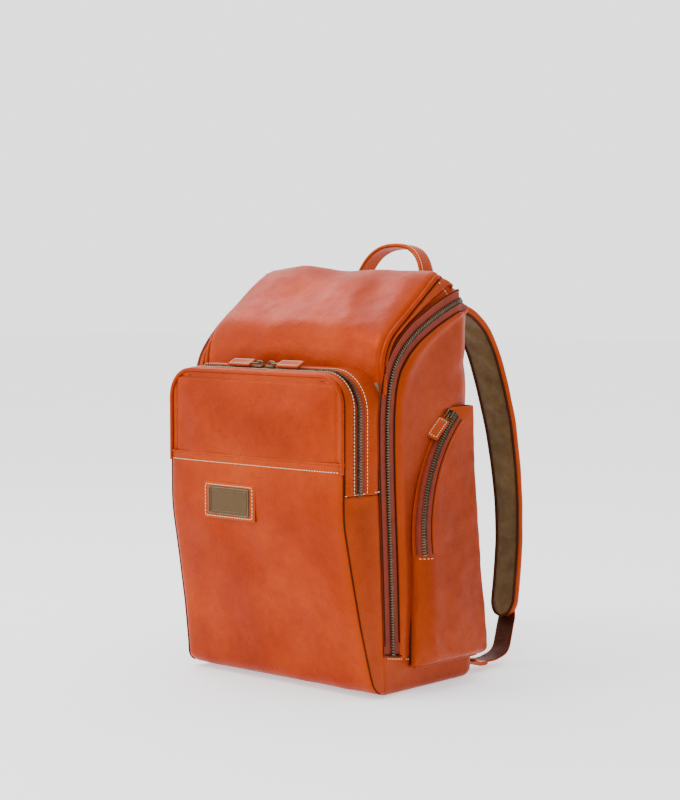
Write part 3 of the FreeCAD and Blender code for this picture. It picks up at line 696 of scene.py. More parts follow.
def make_top_corner(sign, side):
    """The leather between the main zip's tape and the bag's rounded rear corner."""
    path, normals = main_zip_side(sign, 240)
    _, sides = frames_along(path, normals)
    rear_edge = path - sides * sign * 12.0
    kept = [k for k in range(240) if path[k][1] > 34.0 and abs(path[k][0]) > 92.0]
    upper = resample(rear_edge[kept], 24)
    radius = corner_radius(BACK_TOP)
    rows = []
    for above, turn in zip(upper, np.radians(np.linspace(-14, 90, 24))):
        reach = radius * max(0.0, math.sin(turn))
        below = np.array([sign * (HALF_WIDTH - radius + radius * min(1.0, math.cos(max(0.0, turn)))),
                          REAR - radius + (reach if turn > 0 else radius * turn), BACK_TOP - 7.0])
        rows.append([above + (below - above) * share for share in np.linspace(0, 1, 8)])
    cap = sheet("top_corner_" + side, rows, [SIDE_LEATHER, LINING], (0, 0, 380), 2.0,
                lambda point, u, v: 1.2 * math.sin(v * math.pi) + 0.4 * wobble(point, 14.0))
    ride(cap, "bag", "leather")


def make_back():
    rows = []
    piping = []
    for z in np.linspace(base_top(REAR) - 4.0, BACK_TOP - 2.0, 50):
        edge = HALF_WIDTH - corner_radius(z) + 1.0
        rows.append([(x, REAR - 0.4, z) for x in np.linspace(-edge, edge, 40)])
        piping.append((edge, REAR + 0.4, z))

    def back_relief(point, u, v):
        return 0.8 * wobble(point, 60.0, 5.0)

    wall = sheet("back_wall", rows, [SIDE_LEATHER, LINING], (0, 0, 220), 2.4, back_relief)
    ride(wall, "bag", "leather", "back_panel")
    for sign, side in ((1, "right"), (-1, "left")):
        line = np.array(piping) * np.array([sign, 1.0, 1.0])
        ride(tube("back_piping_" + side, line, 1.9, TRIM), "bag", "leather")
        make_top_corner(sign, side)

    half = 96.0
    low = 62.0
    high = 352.0

    def pad_relief(point, u, v):
        x = point[0] / half
        z = (point[2] - low) / (high - low)
        rim = min(1.0, 4.2 * min(1 - abs(x), 1.15 * min(z, 1 - z) * 2))
        crown = math.sqrt(max(0.0, 1 - (1 - max(0.0, rim)) ** 2)) * 8.5
        channel = 1.0
        for groove in (-0.36, 0.36):
            channel -= 0.62 * math.exp(-((x - groove) / 0.05) ** 2)
        for groove in (0.33, 0.66):
            channel -= 0.55 * math.exp(-((z - groove) / 0.022) ** 2)
        return crown * max(0.12, channel) + 0.4 * wobble(point, 22.0, 9.0)

    rows = []
    for z in np.linspace(low, high, 96):
        rows.append([(x, REAR + 0.6, z) for x in np.linspace(-half, half, 72)])
    pad = sheet("back_pad", rows, [CANVAS], (0, 0, 220), 2.0, pad_relief, levels=0)
    ride(pad, "bag", "canvas", "back_foam")
    outline = route([(0, REAR + 1.2, low), ((half, REAR + 1.2, low), 12.0),
                     ((half, REAR + 1.2, high), 12.0), ((-half, REAR + 1.2, high), 12.0),
                     ((-half, REAR + 1.2, low), 12.0), (0, REAR + 1.2, low)], 240)
    ride(tube("back_pad_binding", outline, 2.2, BINDING), "bag", "leather")

    patch_low, patch_high = span("yoke_patch")
    rows = []
    for z in np.linspace(patch_low[2], patch_high[2], 14):
        rows.append([(x, patch_high[1], z) for x in np.linspace(patch_low[0], patch_high[0], 50)])
    yoke = sheet("yoke", rows, [TRIM], (0, 0, 220), 2.2,
                 lambda point, u, v: 0.5 * wobble(point, 30.0, 1.0))
    ride(yoke, "bag", "leather", "yoke_patch")
    inset = 4.0
    line = route([(patch_low[0] + inset, patch_high[1] + 0.5, patch_high[2] - inset),
                  ((patch_low[0] + inset, patch_high[1] + 0.5, patch_low[2] + inset), 3.0),
                  ((patch_high[0] - inset, patch_high[1] + 0.5, patch_low[2] + inset), 3.0),
                  (patch_high[0] - inset, patch_high[1] + 0.5, patch_high[2] - inset)], 200)
    ride(stitches("yoke_stitching", [(line, (0, 1, 0))]), "bag", "leather")

    rows = []
    for share in np.linspace(0, 1, 8):
        start = slope_point(0.0, 66.0, 1.0)
        y = start[1] + (REAR - start[1]) * share
        z = start[2] + (BACK_TOP - 3.0 - start[2]) * share + 1.4 * math.sin(share * math.pi)
        reach = HALF_WIDTH - corner_radius(BACK_TOP) + 2.0
        rows.append([(x, y, z) for x in np.linspace(-reach, reach, 60)])
    strip = sheet("rear_top_strip", rows, [SIDE_LEATHER, LINING], (0, 0, 220), 2.2)
    ride(strip, "bag", "leather")

    low, high = span("laptop_sleeve")
    rows = []
    for z in np.linspace(low[2], high[2], 30):
        rows.append([(x, low[1] + 1.0 + 2.0 * math.sin(x / 60.0) * (z / high[2]), z)
                     for x in np.linspace(low[0] + 2.0, high[0] - 2.0, 40)])
    sleeve = sheet("sleeve", rows, [LINING], (0, 80, 200), 1.6)
    ride(sleeve, "bag", "lining", "laptop_sleeve")
    hem = [(x, low[1] + 1.0, high[2]) for x in np.linspace(low[0] + 2.0, high[0] - 2.0, 40)]
    ride(tube("sleeve_hem", hem, 2.0, BINDING), "bag", "leather")


# ---------------------------------------------------------------- hood

HOOD_HEIGHTS = (316, 342, 373, 398, 424, 446)
HOOD_HALVES = {1: (139.5, 139, 138, 136, 134, 131.5), -1: (128, 124, 124, 126, 127, 124)}


def hood_half(z, sign):
    """Half the hood's width on a side, from its foot up to the ridge. The left side sags in."""
    return float(np.interp(z, HOOD_HEIGHTS, HOOD_HALVES[sign]))


def hood_profile(count):
    corners = [
        (-84.0, 322.0),
        ((-83.0, 375.4), 52.0),
        ((RIDGE[1] - 5.0, RIDGE[2] - 3.4), 10.0),
        (RIDGE[1] + 4.0, RIDGE[2] + 0.4),
    ]
    return route(corners, count)


def make_hood():
    profile = hood_profile(46)
    rows = []
    for y, z in profile:
        row = []
        for share in np.linspace(-1, 1, 72):
            eased = math.copysign(1 - (1 - abs(share)) ** 1.25, share)
            row.append((hood_half(z, 1 if share > 0 else -1) * eased, y, z))
        rows.append(row)

    def relief(point, u, v):
        side = abs(2 * v - 1)
        pillow = 8.5 * (1 - side ** 4) * smooth(u, 0.12, 0.45) * (1 - 0.62 * smooth(u, 0.82, 1.0))
        shoulder = -8.0 * max(0.0, (side - 0.88) / 0.12) ** 2
        crest = (4.6 * math.exp(-((point[0] + 72.0) / 44.0) ** 2)
                 - 2.0 * math.exp(-((point[0] - 6.0) / 26.0) ** 2)) * smooth(u, 0.6, 1.0)
        creases = 1.7 * wobble(point, 52.0, 4.0) + 0.6 * wobble(point, 20.0, 8.0)
        across = (point[0] + point[1] * 0.9 + 10.0) / 15.0
        pull = 1.9 * math.sin(across) * math.exp(-((point[0] - 78.0) / 40.0) ** 2)
        pull *= smooth(u, 0.28, 0.5) * (1 - smooth(u, 0.86, 1.0))
        return pillow + shoulder + crest + creases + pull

    hood = sheet("hood", rows, [LEATHER, LINING], (0, 20, 330), 2.4, relief)
    ride(hood, "front_shell", "leather", "hood_panel")

    for sign, side in ((1, "right"), (-1, "left")):
        line = []
        for y, z in hood_profile(60)[:-2]:
            line.append((sign * (hood_half(z, sign) - 1.6), y + 2.6, z - 2.8))
        ride(tube("hood_piping_" + side, line, 2.7, LEATHER, 10), "front_shell", "leather")
        # painted shadow: a dark tube in the gap beside each hood piping
        gap = np.array(line) + np.array([sign * 0.4, 2.9, -2.6])
        ride(seam("hood_seam_shadow_" + side, gap, 1.0), "front_shell", "leather")
        make_wedge(sign, side)
    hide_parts("hood_gussets")
    make_top_zip()


def make_wedge(sign, side):
    """The recessed gusset between the hood's edge and the main zip."""
    count = 60
    upper = []
    for y, z in hood_profile(count * 2):
        upper.append((sign * (hood_half(z, sign) - 5.5), y + 5.0, z - 4.0))
    upper.append((sign * 124.0, 30.0, RIDGE[2] - 12.0))
    upper = resample(upper, count)
    path, normals = main_zip_side(sign, 260)
    _, sides = frames_along(path, normals)
    edge = path + sides * sign * 11.5 + normals * 0.8
    kept = [point for point in edge if point[2] > 322.0 and abs(point[0]) > HALF_WIDTH - 8.0]
    lower = resample(kept, count)
    rows = []
    for high, low in zip(upper, lower):
        row = []
        for share in np.linspace(0, 1, 20):
            point = high + (low - high) * share
            fold = 5.2 * math.sin(min(1.0, share / 0.62) * math.pi) - 4.0 * smooth(share, 0.5, 0.8)
            point[0] += sign * fold * (1 - smooth(share, 0.88, 1.0))
            row.append(point)
        rows.append(row)

    def relief(point, u, v):
        return 0.7 * wobble(point, 18.0, 6.0)

    wedge = sheet("wedge_" + side, rows, [SIDE_LEATHER], (0, 0, 300), 2.0, relief)
    ride(wedge, "front_shell", "leather")
    line = route([(sign * 133.8, 17.0, RIDGE[2] - 10.0), (sign * 137.5, 28.0, 424.0),
                  (sign * 138.5, 33.0, 418.0)], 20)
    ride(stitches("wedge_stitching_" + side, [(line, (sign, 0.2, 0.3))]), "front_shell", "leather")


def make_top_zip():
    half = span("top_zip_tape")[1][0]
    for name, first, last, node in (("ridge_strip", 0.5, 8.5, "top_strips"),
                                    ("rear_strip", 29.0, 45.0, None)):
        rows = []
        for share in np.linspace(0, 1, 6):
            lift = 1.6 + 1.2 * math.sin(share * math.pi)
            row = []
            for x in np.linspace(-half - 4.0, half + 6.0, 60):
                droop = 3.5 * smooth(abs(x), half - 12.0, half + 6.0)
                row.append(slope_point(x, first + (last - first) * share, lift - droop))
            rows.append(row)
        strip = sheet(name, rows, [TRIM, LINING], (0, 0, 300), 2.2)
        if node:
            ride(strip, "front_shell", "leather", node)
        else:
            ride(strip, "front_shell", "leather")
    path = np.array([slope_point(x, 18.7, 0.4) for x in np.linspace(half, -half, 90)])
    normals = np.tile(SLOPE_NORMAL, (90, 1))
    piece = tape("top_tape_front", path, normals, 0.6, 11.0, TAPE, "front_shell")
    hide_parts("top_zip_tape")
    tape("top_tape_rear", path, normals, -0.6, -11.5, TAPE, "front_shell")
    ride(teeth("top_teeth_front", path, normals, 1, 0), "front_shell", "brass")
    ride(teeth("top_teeth_rear", path, normals, -1, 1), "front_shell", "brass")
    for sign, side in ((1, "right"), (-1, "left")):
        rows = []
        for share in np.linspace(0, 1, 8):
            rows.append([slope_point(sign * (half - 6.0 + 12.0 * share), distance, 2.6 - 2.0 * share)
                         for distance in np.linspace(6.0, 44.0, 12)])
        ride(sheet("top_zip_end_" + side, rows, [TRIM], (0, 0, 300), 1.8), "front_shell", "leather")
        line = [slope_point(sign * (half - 4.0), distance, 3.0) for distance in np.linspace(8, 42, 20)]
        ride(stitches("top_zip_end_stitching_" + side, [(line, SLOPE_NORMAL)]),
             "front_shell", "leather")


# ---------------------------------------------------------------- front pocket

def front_half(z):
    """Half the width of the pocket's front, which widens towards the base."""
    return float(np.interp(z, (11, 33, 76, 130, 185), (139.5, 136.5, 132.5, 130, 128.5)))


def front_profile(count):
    """The slip pocket's face seen from the side, from under the bag up to its edge."""
    corners = [
        (-76.0, 2.4),
        ((-97.0, 8.0), 17.0),
        ((FACE + 0.6, 190.0), 150.0),
        (FACE + 0.6, SLIP_TOP),
    ]
    return route(corners, count)


def bend_to_shell(piece):
    """Bakes the piece's placement into its mesh; it does not bend the leather at the fold."""
    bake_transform(piece)
    return piece


def bend_to_flap(piece):
    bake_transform(piece)
    return piece


def slip_relief(point, u, v):
    side = abs(2 * v - 1)
    pillow = 2.6 * (1 - side ** 6) * smooth(u, 0.1, 0.5)
    roll = -3.0 * max(0.0, (side - 0.955) / 0.045) ** 2
    creases = 1.5 * wobble(point, 62.0, 12.0) + 0.45 * wobble(point, 24.0, 5.0)
    mouth = 1.2 * smooth(u, 0.93, 1.0) * (0.5 + 0.5 * math.cos(point[0] / 40.0))
    return pillow + roll + creases * smooth(1.02 - side, 0.02, 0.3) + mouth


def make_slip_pocket():
    rows = []
    for y, z in front_profile(72):
        half = front_half(z)
        rows.append([(half * share, y, z) for share in np.linspace(-1, 1, 76)])
    face = sheet("slip_pocket", rows, [LEATHER, LINING], (0, 0, 150), 2.4, slip_relief)
    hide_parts("slip_pocket_panel", "pocket_foot", "slip_pocket_welts")
    bend_to_shell(face)

    hem = []
    seam = []
    for share in np.linspace(-1, 1, 120):
        x = front_half(SLIP_TOP) * share
        lift = slip_relief((x, FACE + 0.6, SLIP_TOP), 1.0, (share + 1) / 2)
        hem.append((x, FACE + 1.6 - lift, SLIP_TOP + 0.2))
        lower = slip_relief((x, FACE + 0.6, SLIP_TOP - 8.0), 0.97, (share + 1) / 2)
        seam.append((x, FACE + 0.5 - lower, SLIP_TOP - 8.0))
    ride(tube("slip_hem", hem, 1.7, LEATHER), "front_shell", "leather")
    ride(stitches("slip_stitching", [(seam[2:-2], (0, -1, 0))]), "front_shell", "leather")

    rows = []
    for z in np.linspace(60.0, SLIP_TOP - 1.0, 30):
        y = float(np.interp(z, (60, 190, 250), (-98.0, -125.0, -126.0)))
        rows.append([(x, y, z) for x in np.linspace(-122.0, 122.0, 30)])
    inner = sheet("pocket_inner_front", rows, [LINING], (0, 0, 150), 1.6)
    ride(inner, "front_shell", "lining", "lower_front_panel")


def gusset_edge(z, sign):
    """Where the pocket's side wall meets its front."""
    profile = front_profile(160)
    y = float(np.interp(z, profile[:, 1], profile[:, 0]))
    return np.array([sign * (front_half(z) - 0.6), y + 1.6, z])


def seam(name, line, radius=0.8):
    """A thin dark tube along the gap where two pieces of leather are sewn together: painted shadow in the
    seam.
    """
    return tube(name, line, radius, PAINTED_SEAM_SHADOW, 6)


def make_lower_gussets():
    for sign, side in ((1, "right"), (-1, "left")):
        rows = []
        for z in np.linspace(5.0, 217.0, 60):
            front = gusset_edge(z, sign)
            rear_y = zip_depth(z) - 12.0
            rear = np.array([sign * (HALF_WIDTH - 0.8), rear_y, z])
            row = []
            for share in np.linspace(0, 1, 16):
                point = front + (rear - front) * share
                point[0] += sign * 1.4 * math.sin(share * math.pi) * smooth(z, 30.0, 90.0)
                row.append(point)
            rows.append(row)

        def relief(point, u, v):
            dent = -2.4 * math.exp(-((point[2] - 78.0 + 0.8 * (point[1] + 105.0)) / 26.0) ** 2)
            roll = -1.6 * (1 - smooth(v, 0.0, 0.1)) - 1.2 * smooth(v, 0.92, 1.0)
            return roll + dent * math.sin(math.pi * min(1.0, max(0.0, v))) + 0.8 * wobble(point, 30.0)

        wall = sheet("lower_gusset_" + side, rows, [SIDE_LEATHER, LINING], (0, -90, 120), 2.2, relief)
        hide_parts("pocket_gusset_" + side)
        bend_to_shell(wall)
        # painted shadow: a dark tube along the gap where the pocket front meets its side wall
        line = [gusset_edge(z, sign) + np.array([sign * 0.5, 0.9, 0.0])
                for z in np.linspace(6.0, 248.0, 90)]
        gap = seam("front_seam_shadow_" + side, line)
        bend_to_shell(gap)
        front = gusset_edge(216.0, sign) + np.array([sign * 0.9, 1.5, 1.5])
        rear = np.array([sign * (HALF_WIDTH + 0.2), zip_depth(220.0) - 13.0, 220.0])
        ride(stitches("gusset_stitching_" + side,
                      [(route([tuple(front), tuple(rear)], 12), (sign, -0.3, 0))]),
             "front_shell", "leather")


def pocket_ring(y, foot, count, lift=0.0):
    """The front pocket's outline at a depth: up one side, across the top and down."""
    back = y - FACE
    half = 127.6 + 0.25 * back + lift
    top = POCKET_TOP - 2.6 + 0.11 * back + lift
    radius = 27.0 + 0.75 * min(back, 24.0)
    corners = [
        (-half, y, foot),
        ((-half, y, top), radius),
        ((half, y, top), radius),
        (half, y, foot),
    ]
    return route(corners, count)


ZIP_Y = -112.0
RING_POINTS = 200


def make_pocket_top():
    """The zipped edge of the front pocket: flap rim, zip and the gusset behind it."""
    foot = 217.0

    def rim_relief(point, u, v):
        return 1.0 * math.sin(u * math.pi) + 0.35 * wobble(point, 22.0, 3.0)

    rows = [pocket_ring(y, foot, RING_POINTS, lift)
            for y, lift in ((FACE + 5.0, -1.8), (FACE + 6.0, -0.2), (FACE + 9.0, 0.5),
                            (FACE + 13.0, 0.5), (FACE + 16.0, 0.0))]
    rim = sheet("flap_rim_leather", rows, [TRIM, LINING], (0, -120, 280), 2.0, rim_relief)
    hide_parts("flap_rim")
    bend_to_flap(rim)

    centre = pocket_ring(ZIP_Y, foot, RING_POINTS)
    normals = []
    for point in centre:
        bend = POCKET_TOP - 42.0
        out = np.array([point[0] - math.copysign(min(abs(point[0]), 92.0), point[0]), 0.0,
                        max(0.0, point[2] - bend)])
        normals.append(unit(out))
    normals = np.array(normals)
    rear_tape = sheet("pocket_tape_rear",
                      [pocket_ring(y, foot, RING_POINTS) for y in np.linspace(ZIP_Y + 0.6, ZIP_Y + 8.5, 5)],
                      [TAPE], (0, -120, 280), 1.0, levels=0)
    ride(rear_tape, "front_shell", "zip_tape", "pocket_zip_tape")
    front_tape = sheet("pocket_tape_front",
                       [pocket_ring(y, foot, RING_POINTS) for y in np.linspace(ZIP_Y - 8.0, ZIP_Y - 0.6, 5)],
                       [TAPE], (0, -120, 280), 1.0, levels=0)
    bend_to_flap(front_tape)
    ride(teeth("pocket_teeth_rear", centre, normals, -1, 0), "front_shell", "brass")
    front_teeth = teeth("pocket_teeth_front", centre, normals, 1, 1)
    bend_to_flap(front_teeth)

    rows = []
    for share in (0.0, 0.06, 0.15, 0.35, 0.6, 0.85, 1.0):
        lift = 0.3 + 1.1 * math.sin(min(1.0, share * 6.0) * math.pi / 2)
        ring = pocket_ring(ZIP_Y + 6.5 + 18.5 * share, foot, RING_POINTS, lift)
        for point in ring:
            point[1] += 8.0 * share * smooth(point[2], 296.0, 330.0)
            limit = HALF_WIDTH - 1.2
            point[0] = math.copysign(min(abs(point[0]), limit), point[0])
        rows.append(ring)
    gusset = sheet("pocket_gusset_rear", rows, [TRIM, LINING], (0, -100, 280), 2.0,
                   lambda point, u, v: 0.5 * wobble(point, 24.0, 9.0))
    ride(gusset, "front_shell", "leather", "pocket_ceiling", "pocket_floor")

    front_line = pocket_ring(ZIP_Y - 6.6, foot + 2.0, 260, 1.0)
    rear_line = pocket_ring(ZIP_Y + 8.6, foot + 2.0, 260, 1.9)
    out = pocket_ring(ZIP_Y, foot, 260, 30.0) - pocket_ring(ZIP_Y, foot, 260, 0.0)
    front_row = stitches("rim_stitching", [(front_line, out)])
    bend_to_flap(front_row)
    ride(stitches("gusset_rear_stitching", [(rear_line, out)]), "front_shell", "leather")


def make_flap():
    """The pocket's front above the slip pocket, with its rolled edge."""
    top = POCKET_TOP - 3.0
    radius = 27.0
    foot = 236.0
    rows = []
    for share in np.linspace(0, 1, 40):
        z = foot + (top - foot) * math.sin(share * math.pi / 2)
        above = max(0.0, z - (top - radius))
        half = 127.4 - (radius - math.sqrt(max(0.0, radius ** 2 - above ** 2)))
        rows.append([(half * math.copysign(1 - (1 - abs(s)) ** 1.3, s), FACE + 5.0, z)
                     for s in np.linspace(-1, 1, 70)])

    def relief(point, u, v):
        above = top - point[2]
        beside = front_half(200) - 1.0 - abs(point[0])
        if above < radius and beside < radius:
            corner = radius - math.hypot(radius - above, radius - beside)
            near = max(0.0, corner)
        else:
            near = max(0.0, min(above, beside))
        roll = 3.8 * math.sqrt(max(0.0, 1 - (1 - min(1.0, near / 7.0)) ** 2))
        crown = 3.4 * smooth(near, 6.0, 50.0)
        welt = -2.0 * math.exp(-((near - 6.8) / 1.8) ** 2)
        return roll + crown + welt + (0.9 * wobble(point, 48.0, 2.0)
                                      + 0.3 * wobble(point, 18.0, 6.0)) * smooth(near, 4.0, 20.0)

    # the second tube is painted shadow: a dark line in the groove inside the flap's bead
    for name, out, near, radius, look in (("flap_bead", 3.4, -1.4, 2.3, LEATHER),
                                          ("flap_groove_shadow", 1.5, -6.6, 0.8, PAINTED_SEAM_SHADOW)):
        ring = pocket_ring(FACE + 5.0, 240.0, 220, near)
        ring[:, 1] -= out
        bead = tube(name, ring, radius, look, 8)
        bend_to_flap(bead)

    face = sheet("flap", rows, [LEATHER, LINING], (0, 0, 280), 2.2, relief)
    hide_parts("flap_panel")
    bend_to_flap(face)

    rows = []
    low, high = span("pocket_divider")
    for z in np.linspace(low[2], high[2] - 6.0, 24):
        rows.append([(x, low[1] + 1.2, z) for x in np.linspace(low[0] + 1.0, high[0] - 1.0, 30)])
    divider = sheet("divider", rows, [LINING], (0, -120, 200), 1.8)
    ride(divider, "front_shell", "lining", "pocket_divider")


def make_plaque():
    low, high = span("plaque_patch")
    middle = (low + high) / 2
    size = (high - low) / 2
    plate_low, plate_high = span("plaque_plate")
    rows = []
    for z in np.linspace(-1, 1, 16):
        row = []
        for x in np.linspace(-1, 1, 28):
            square = max(abs(x), abs(z))
            row.append((middle[0] + size[0] * x, low[1] - 0.3 - 0.8 * (1 - square ** 8),
                        middle[2] + size[2] * z))
        rows.append(row)
    patch = sheet("plaque_leather", rows, [TRIM], (0, 0, 200), 1.9)
    ride(patch, "front_shell", "leather", "plaque_patch")
    inset = 3.4
    y = low[1] - 1.3
    line = route([(middle[0], y, low[2] + inset), ((low[0] + inset, y, low[2] + inset), 2.0),
                  ((low[0] + inset, y, high[2] - inset), 2.0),
                  ((high[0] - inset, y, high[2] - inset), 2.0),
                  ((high[0] - inset, y, low[2] + inset), 2.0), (middle[0], y, low[2] + inset)], 160)
    ride(stitches("plaque_stitching", [(line, (0, -1, 0))]), "front_shell", "leather")
    for slot in frame["nodes"]["plaque_plate"].material_slots:
        slot.material = PLATE
    for name, border, radius in (("plate_rim", 1.3, 0.75), ("plate_line", 4.2, 0.3)):
        y = plate_low[1] - 0.1
        x0, z0 = plate_low[0] + border, plate_low[2] + border
        x1, z1 = plate_high[0] - border, plate_high[2] - border
        line = route([((x0 + x1) / 2, y, z0), ((x0, y, z0), 2.2), ((x0, y, z1), 2.2),
                      ((x1, y, z1), 2.2), ((x1, y, z0), 2.2), ((x0 + x1) / 2, y, z0)], 120)
        ride(tube(name, line, radius, BRASS), "front_shell", "brass")


# ---------------------------------------------------------------- side pockets

POCKET_FOOT = 27.0
POCKET_EDGE_RADIUS = 170.5
TAPE_WIDTH = 15.5


def pocket_front(z):
    """The side pocket's front edge: straight up to the zip's foot, then along its arc."""
    centre = SIDE_ZIP_CENTRE
    rise = z - centre[2]
    if rise < -20.0:
        return centre[1] - math.sqrt(POCKET_EDGE_RADIUS ** 2 - 400.0)
    return centre[1] - math.sqrt(max(0.0, POCKET_EDGE_RADIUS ** 2 - rise ** 2))


def pocket_rear(z):
    return float(np.interp(z, (27, 135, 201, 298, 312), (75, 66.5, 61, 61, 60)))


def pocket_rise(y, z):
    """How far the side pocket's leather stands off the bag's side."""
    centre = SIDE_ZIP_CENTRE
    if z > centre[2] - 20.0:
        ahead = POCKET_EDGE_RADIUS - math.hypot(y - centre[1], z - centre[2])
    else:
        ahead = y - pocket_front(z)
    shares = (ahead / 19.0, (pocket_rear(z) - y) / 9.0, (z - POCKET_FOOT) / 12.0)
    height = 1.0
    for share in shares:
        share = min(1.0, max(0.0, share))
        height *= (1 - (1 - share) ** 2.0) ** 0.5
    full = float(np.interp(z, (30, 298), (24.5, 12.5)))
    fall = corner_fall(y, z)
    return (full + fall) * height - fall


def pocket_place(y, z, sign, lift=0.0):
    return np.array([sign * (HALF_WIDTH + 0.8 + pocket_rise(y, z) + lift), y, z])


def arc_place(turn, inward, sign, lift=0.0):
    """A point near the side zip: its angle round the zip's arc and its distance in."""
    reach = POCKET_EDGE_RADIUS - inward
    y = SIDE_ZIP_CENTRE[1] + reach * math.cos(turn)
    z = SIDE_ZIP_CENTRE[2] + reach * math.sin(turn)
    return pocket_place(y, z, sign, lift)


def make_side_pockets():
    turns = np.radians(np.linspace(187.0, 129.5, 70))
    top = SIDE_ZIP_CENTRE[2] + POCKET_EDGE_RADIUS * math.sin(math.radians(127.6))
    for sign, side in ((1, "right"), (-1, "left")):
        rows = []
        for share in np.linspace(0, 1, 90):
            z = POCKET_FOOT + (top - POCKET_FOOT) * (1 - (1 - share ** 1.35) ** 1.1)
            front, rear = pocket_front(z), pocket_rear(z)
            row = []
            for across in np.linspace(0, 1, 46):
                eased = across - 0.13 * math.sin(2 * math.pi * across)
                row.append(pocket_place(front + (rear - front) * eased, z, sign))
            rows.append(row)

        def relief(point, u, v, sign=sign):
            creases = 1.6 * wobble(point, 40.0, 3.0 * sign) + 0.6 * wobble(point, 15.0, 9.0)
            low = -2.6 * math.exp(-((point[2] - 52.0 + 0.5 * (point[1] + 8.0)) / 6.0) ** 2)
            low *= math.exp(-((point[1] + 4.0) / 16.0) ** 2)
            crease = -1.5 * math.exp(-((point[2] - 160.0 + 0.12 * point[1]) / 5.0) ** 2)
            crease *= math.exp(-((point[1] - 4.0) / 14.0) ** 2)
            fade = smooth(abs(point[0]) - HALF_WIDTH, 6.0, 14.0)
            return (creases + low + crease) * fade

        face = sheet("side_pocket_" + side, rows, [SIDE_LEATHER, LINING],
                     (sign * 90.0, 15.0, 160.0), 2.0, relief)
        ride(face, "bag", "leather", "side_pocket_face_" + side)

        rows = [[arc_place(turn, inward, sign, 0.9) for turn in turns]
                for inward in np.linspace(1.0, TAPE_WIDTH, 9)]
        band = sheet("side_tape_" + side, rows, [TAPE], (sign * 90.0, 60.0, 160.0), 0.9, levels=0)
        ride(band, "bag", "zip_tape")
        middle = np.array([arc_place(turn, 6.6, sign, 1.0) for turn in turns])
        slant = np.array([arc_place(turn, 9.6, sign) - arc_place(turn, 3.6, sign) for turn in turns])
        normals = np.cross(slant, np.gradient(middle, axis=0))
        normals = normals / np.linalg.norm(normals, axis=1, keepdims=True)
        if normals[:, 0].sum() * sign < 0:
            normals = -normals
        ride(teeth("side_teeth_a_" + side, middle, normals, 1, 0), "bag", "brass")
        ride(teeth("side_teeth_b_" + side, middle, normals, -1, 1), "bag", "brass")
        for name, inward, radius in (("inner", TAPE_WIDTH + 0.6, 1.9), ("outer", 0.4, 1.5)):
            lip = [arc_place(turn, inward, sign, 0.5) for turn in turns]
            ride(tube("side_lip_%s_%s" % (name, side), lip, radius, LEATHER), "bag", "leather")
        # painted shadow: dark tubes along the pocket's front edge and in the groove beside the zip tape
        edge = [pocket_place(pocket_front(z) - 0.6, z, sign, 0.6) for z in np.linspace(30.0, 146.0, 40)]
        edge += [arc_place(turn, -1.2, sign, 0.6) for turn in turns]
        ride(seam("side_pocket_seam_shadow_" + side, edge), "bag", "leather")
        groove = [arc_place(turn, TAPE_WIDTH - 1.2, sign, 1.0) for turn in turns]
        ride(seam("side_tape_seam_" + side, groove, 0.6), "bag", "leather")
        line = [pocket_place(y, SIDE_ZIP_CENTRE[2] - 24.0, sign, 0.7)
                for y in np.linspace(pocket_front(140.0) + 2.0, pocket_front(140.0) + TAPE_WIDTH, 12)]
        ride(stitches("side_foot_stitching_" + side, [(line, (sign, -0.6, 0))]), "bag", "leather")
        low = [pocket_place(y, POCKET_FOOT + 0.5, sign, 0.0)
               for y in np.linspace(pocket_front(30.0) + 3.0, pocket_rear(30.0) - 3.0, 30)]
        ride(tube("side_foot_piping_" + side, low, 1.8, SIDE_LEATHER), "bag", "leather")
    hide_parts("side_pocket_gussets")
    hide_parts("side_zip_tapes")


# ---------------------------------------------------------------- sliders and pulls

def slider_place(name):
    """Turns a slider's own axes into the bag's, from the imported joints."""
    run = JOINTS[name + "_zip_run"]
    lift = JOINTS[name + "_pull_lift"]
    pivot = np.array(lift["pos_m"]) / MM
    hinge = unit(np.array(lift["axis"], float))
    if run["type"] == "slide":
        along = unit(np.array(run["axis"], float))
        out = np.cross(hinge, along)
    else:
        centre = np.array(run["pos_m"]) / MM
        out = unit((pivot - centre) * np.array([0.0, 1.0, 1.0]))
        along = np.cross(out, hinge)
    return pivot, along, np.cross(out, along), out


def placed(points, place, height=5.4, twist=0.0):
    """Points drawn at the origin, with the hinge pin this high, moved onto the bag.

    A twist, in degrees, turns the points about the line that runs out from the pin.
    """
    pivot, along, across, out = place
    points = np.array(points, float)
    turn = math.radians(twist)
    aside = points[:, 1].copy()
    above = points[:, 2] - height
    points[:, 1] = aside * math.cos(turn) - above * math.sin(turn)
    points[:, 2] = aside * math.sin(turn) + above * math.cos(turn) + height
    return (pivot + points[:, 0:1] * along + points[:, 1:2] * across
            + (points[:, 2:3] - height) * out)


def rounded_slab(length, width, thickness, start, middle, corner):
    """A flat tab with round corners, as rings of points from its underside to its face."""
    ring = route([(start, 0, 0), ((start, -width / 2, 0), corner),
                  ((start + length, -width / 2, 0), corner),
                  ((start + length, width / 2, 0), corner), ((start, width / 2, 0), corner),
                  (start, 0, 0)], 41)[:-1]
    heart = ring.mean(0)
    layers = []
    for shrink, height in ((0.82, middle - thickness / 2), (0.96, middle - thickness / 2 * 0.8),
                           (1.0, middle - thickness / 4), (1.0, middle + thickness / 4),
                           (0.96, middle + thickness / 2 * 0.8), (0.82, middle + thickness / 2)):
        layer = heart + (ring - heart) * shrink
        layer[:, 2] = height
        layers.append(layer)
    return layers


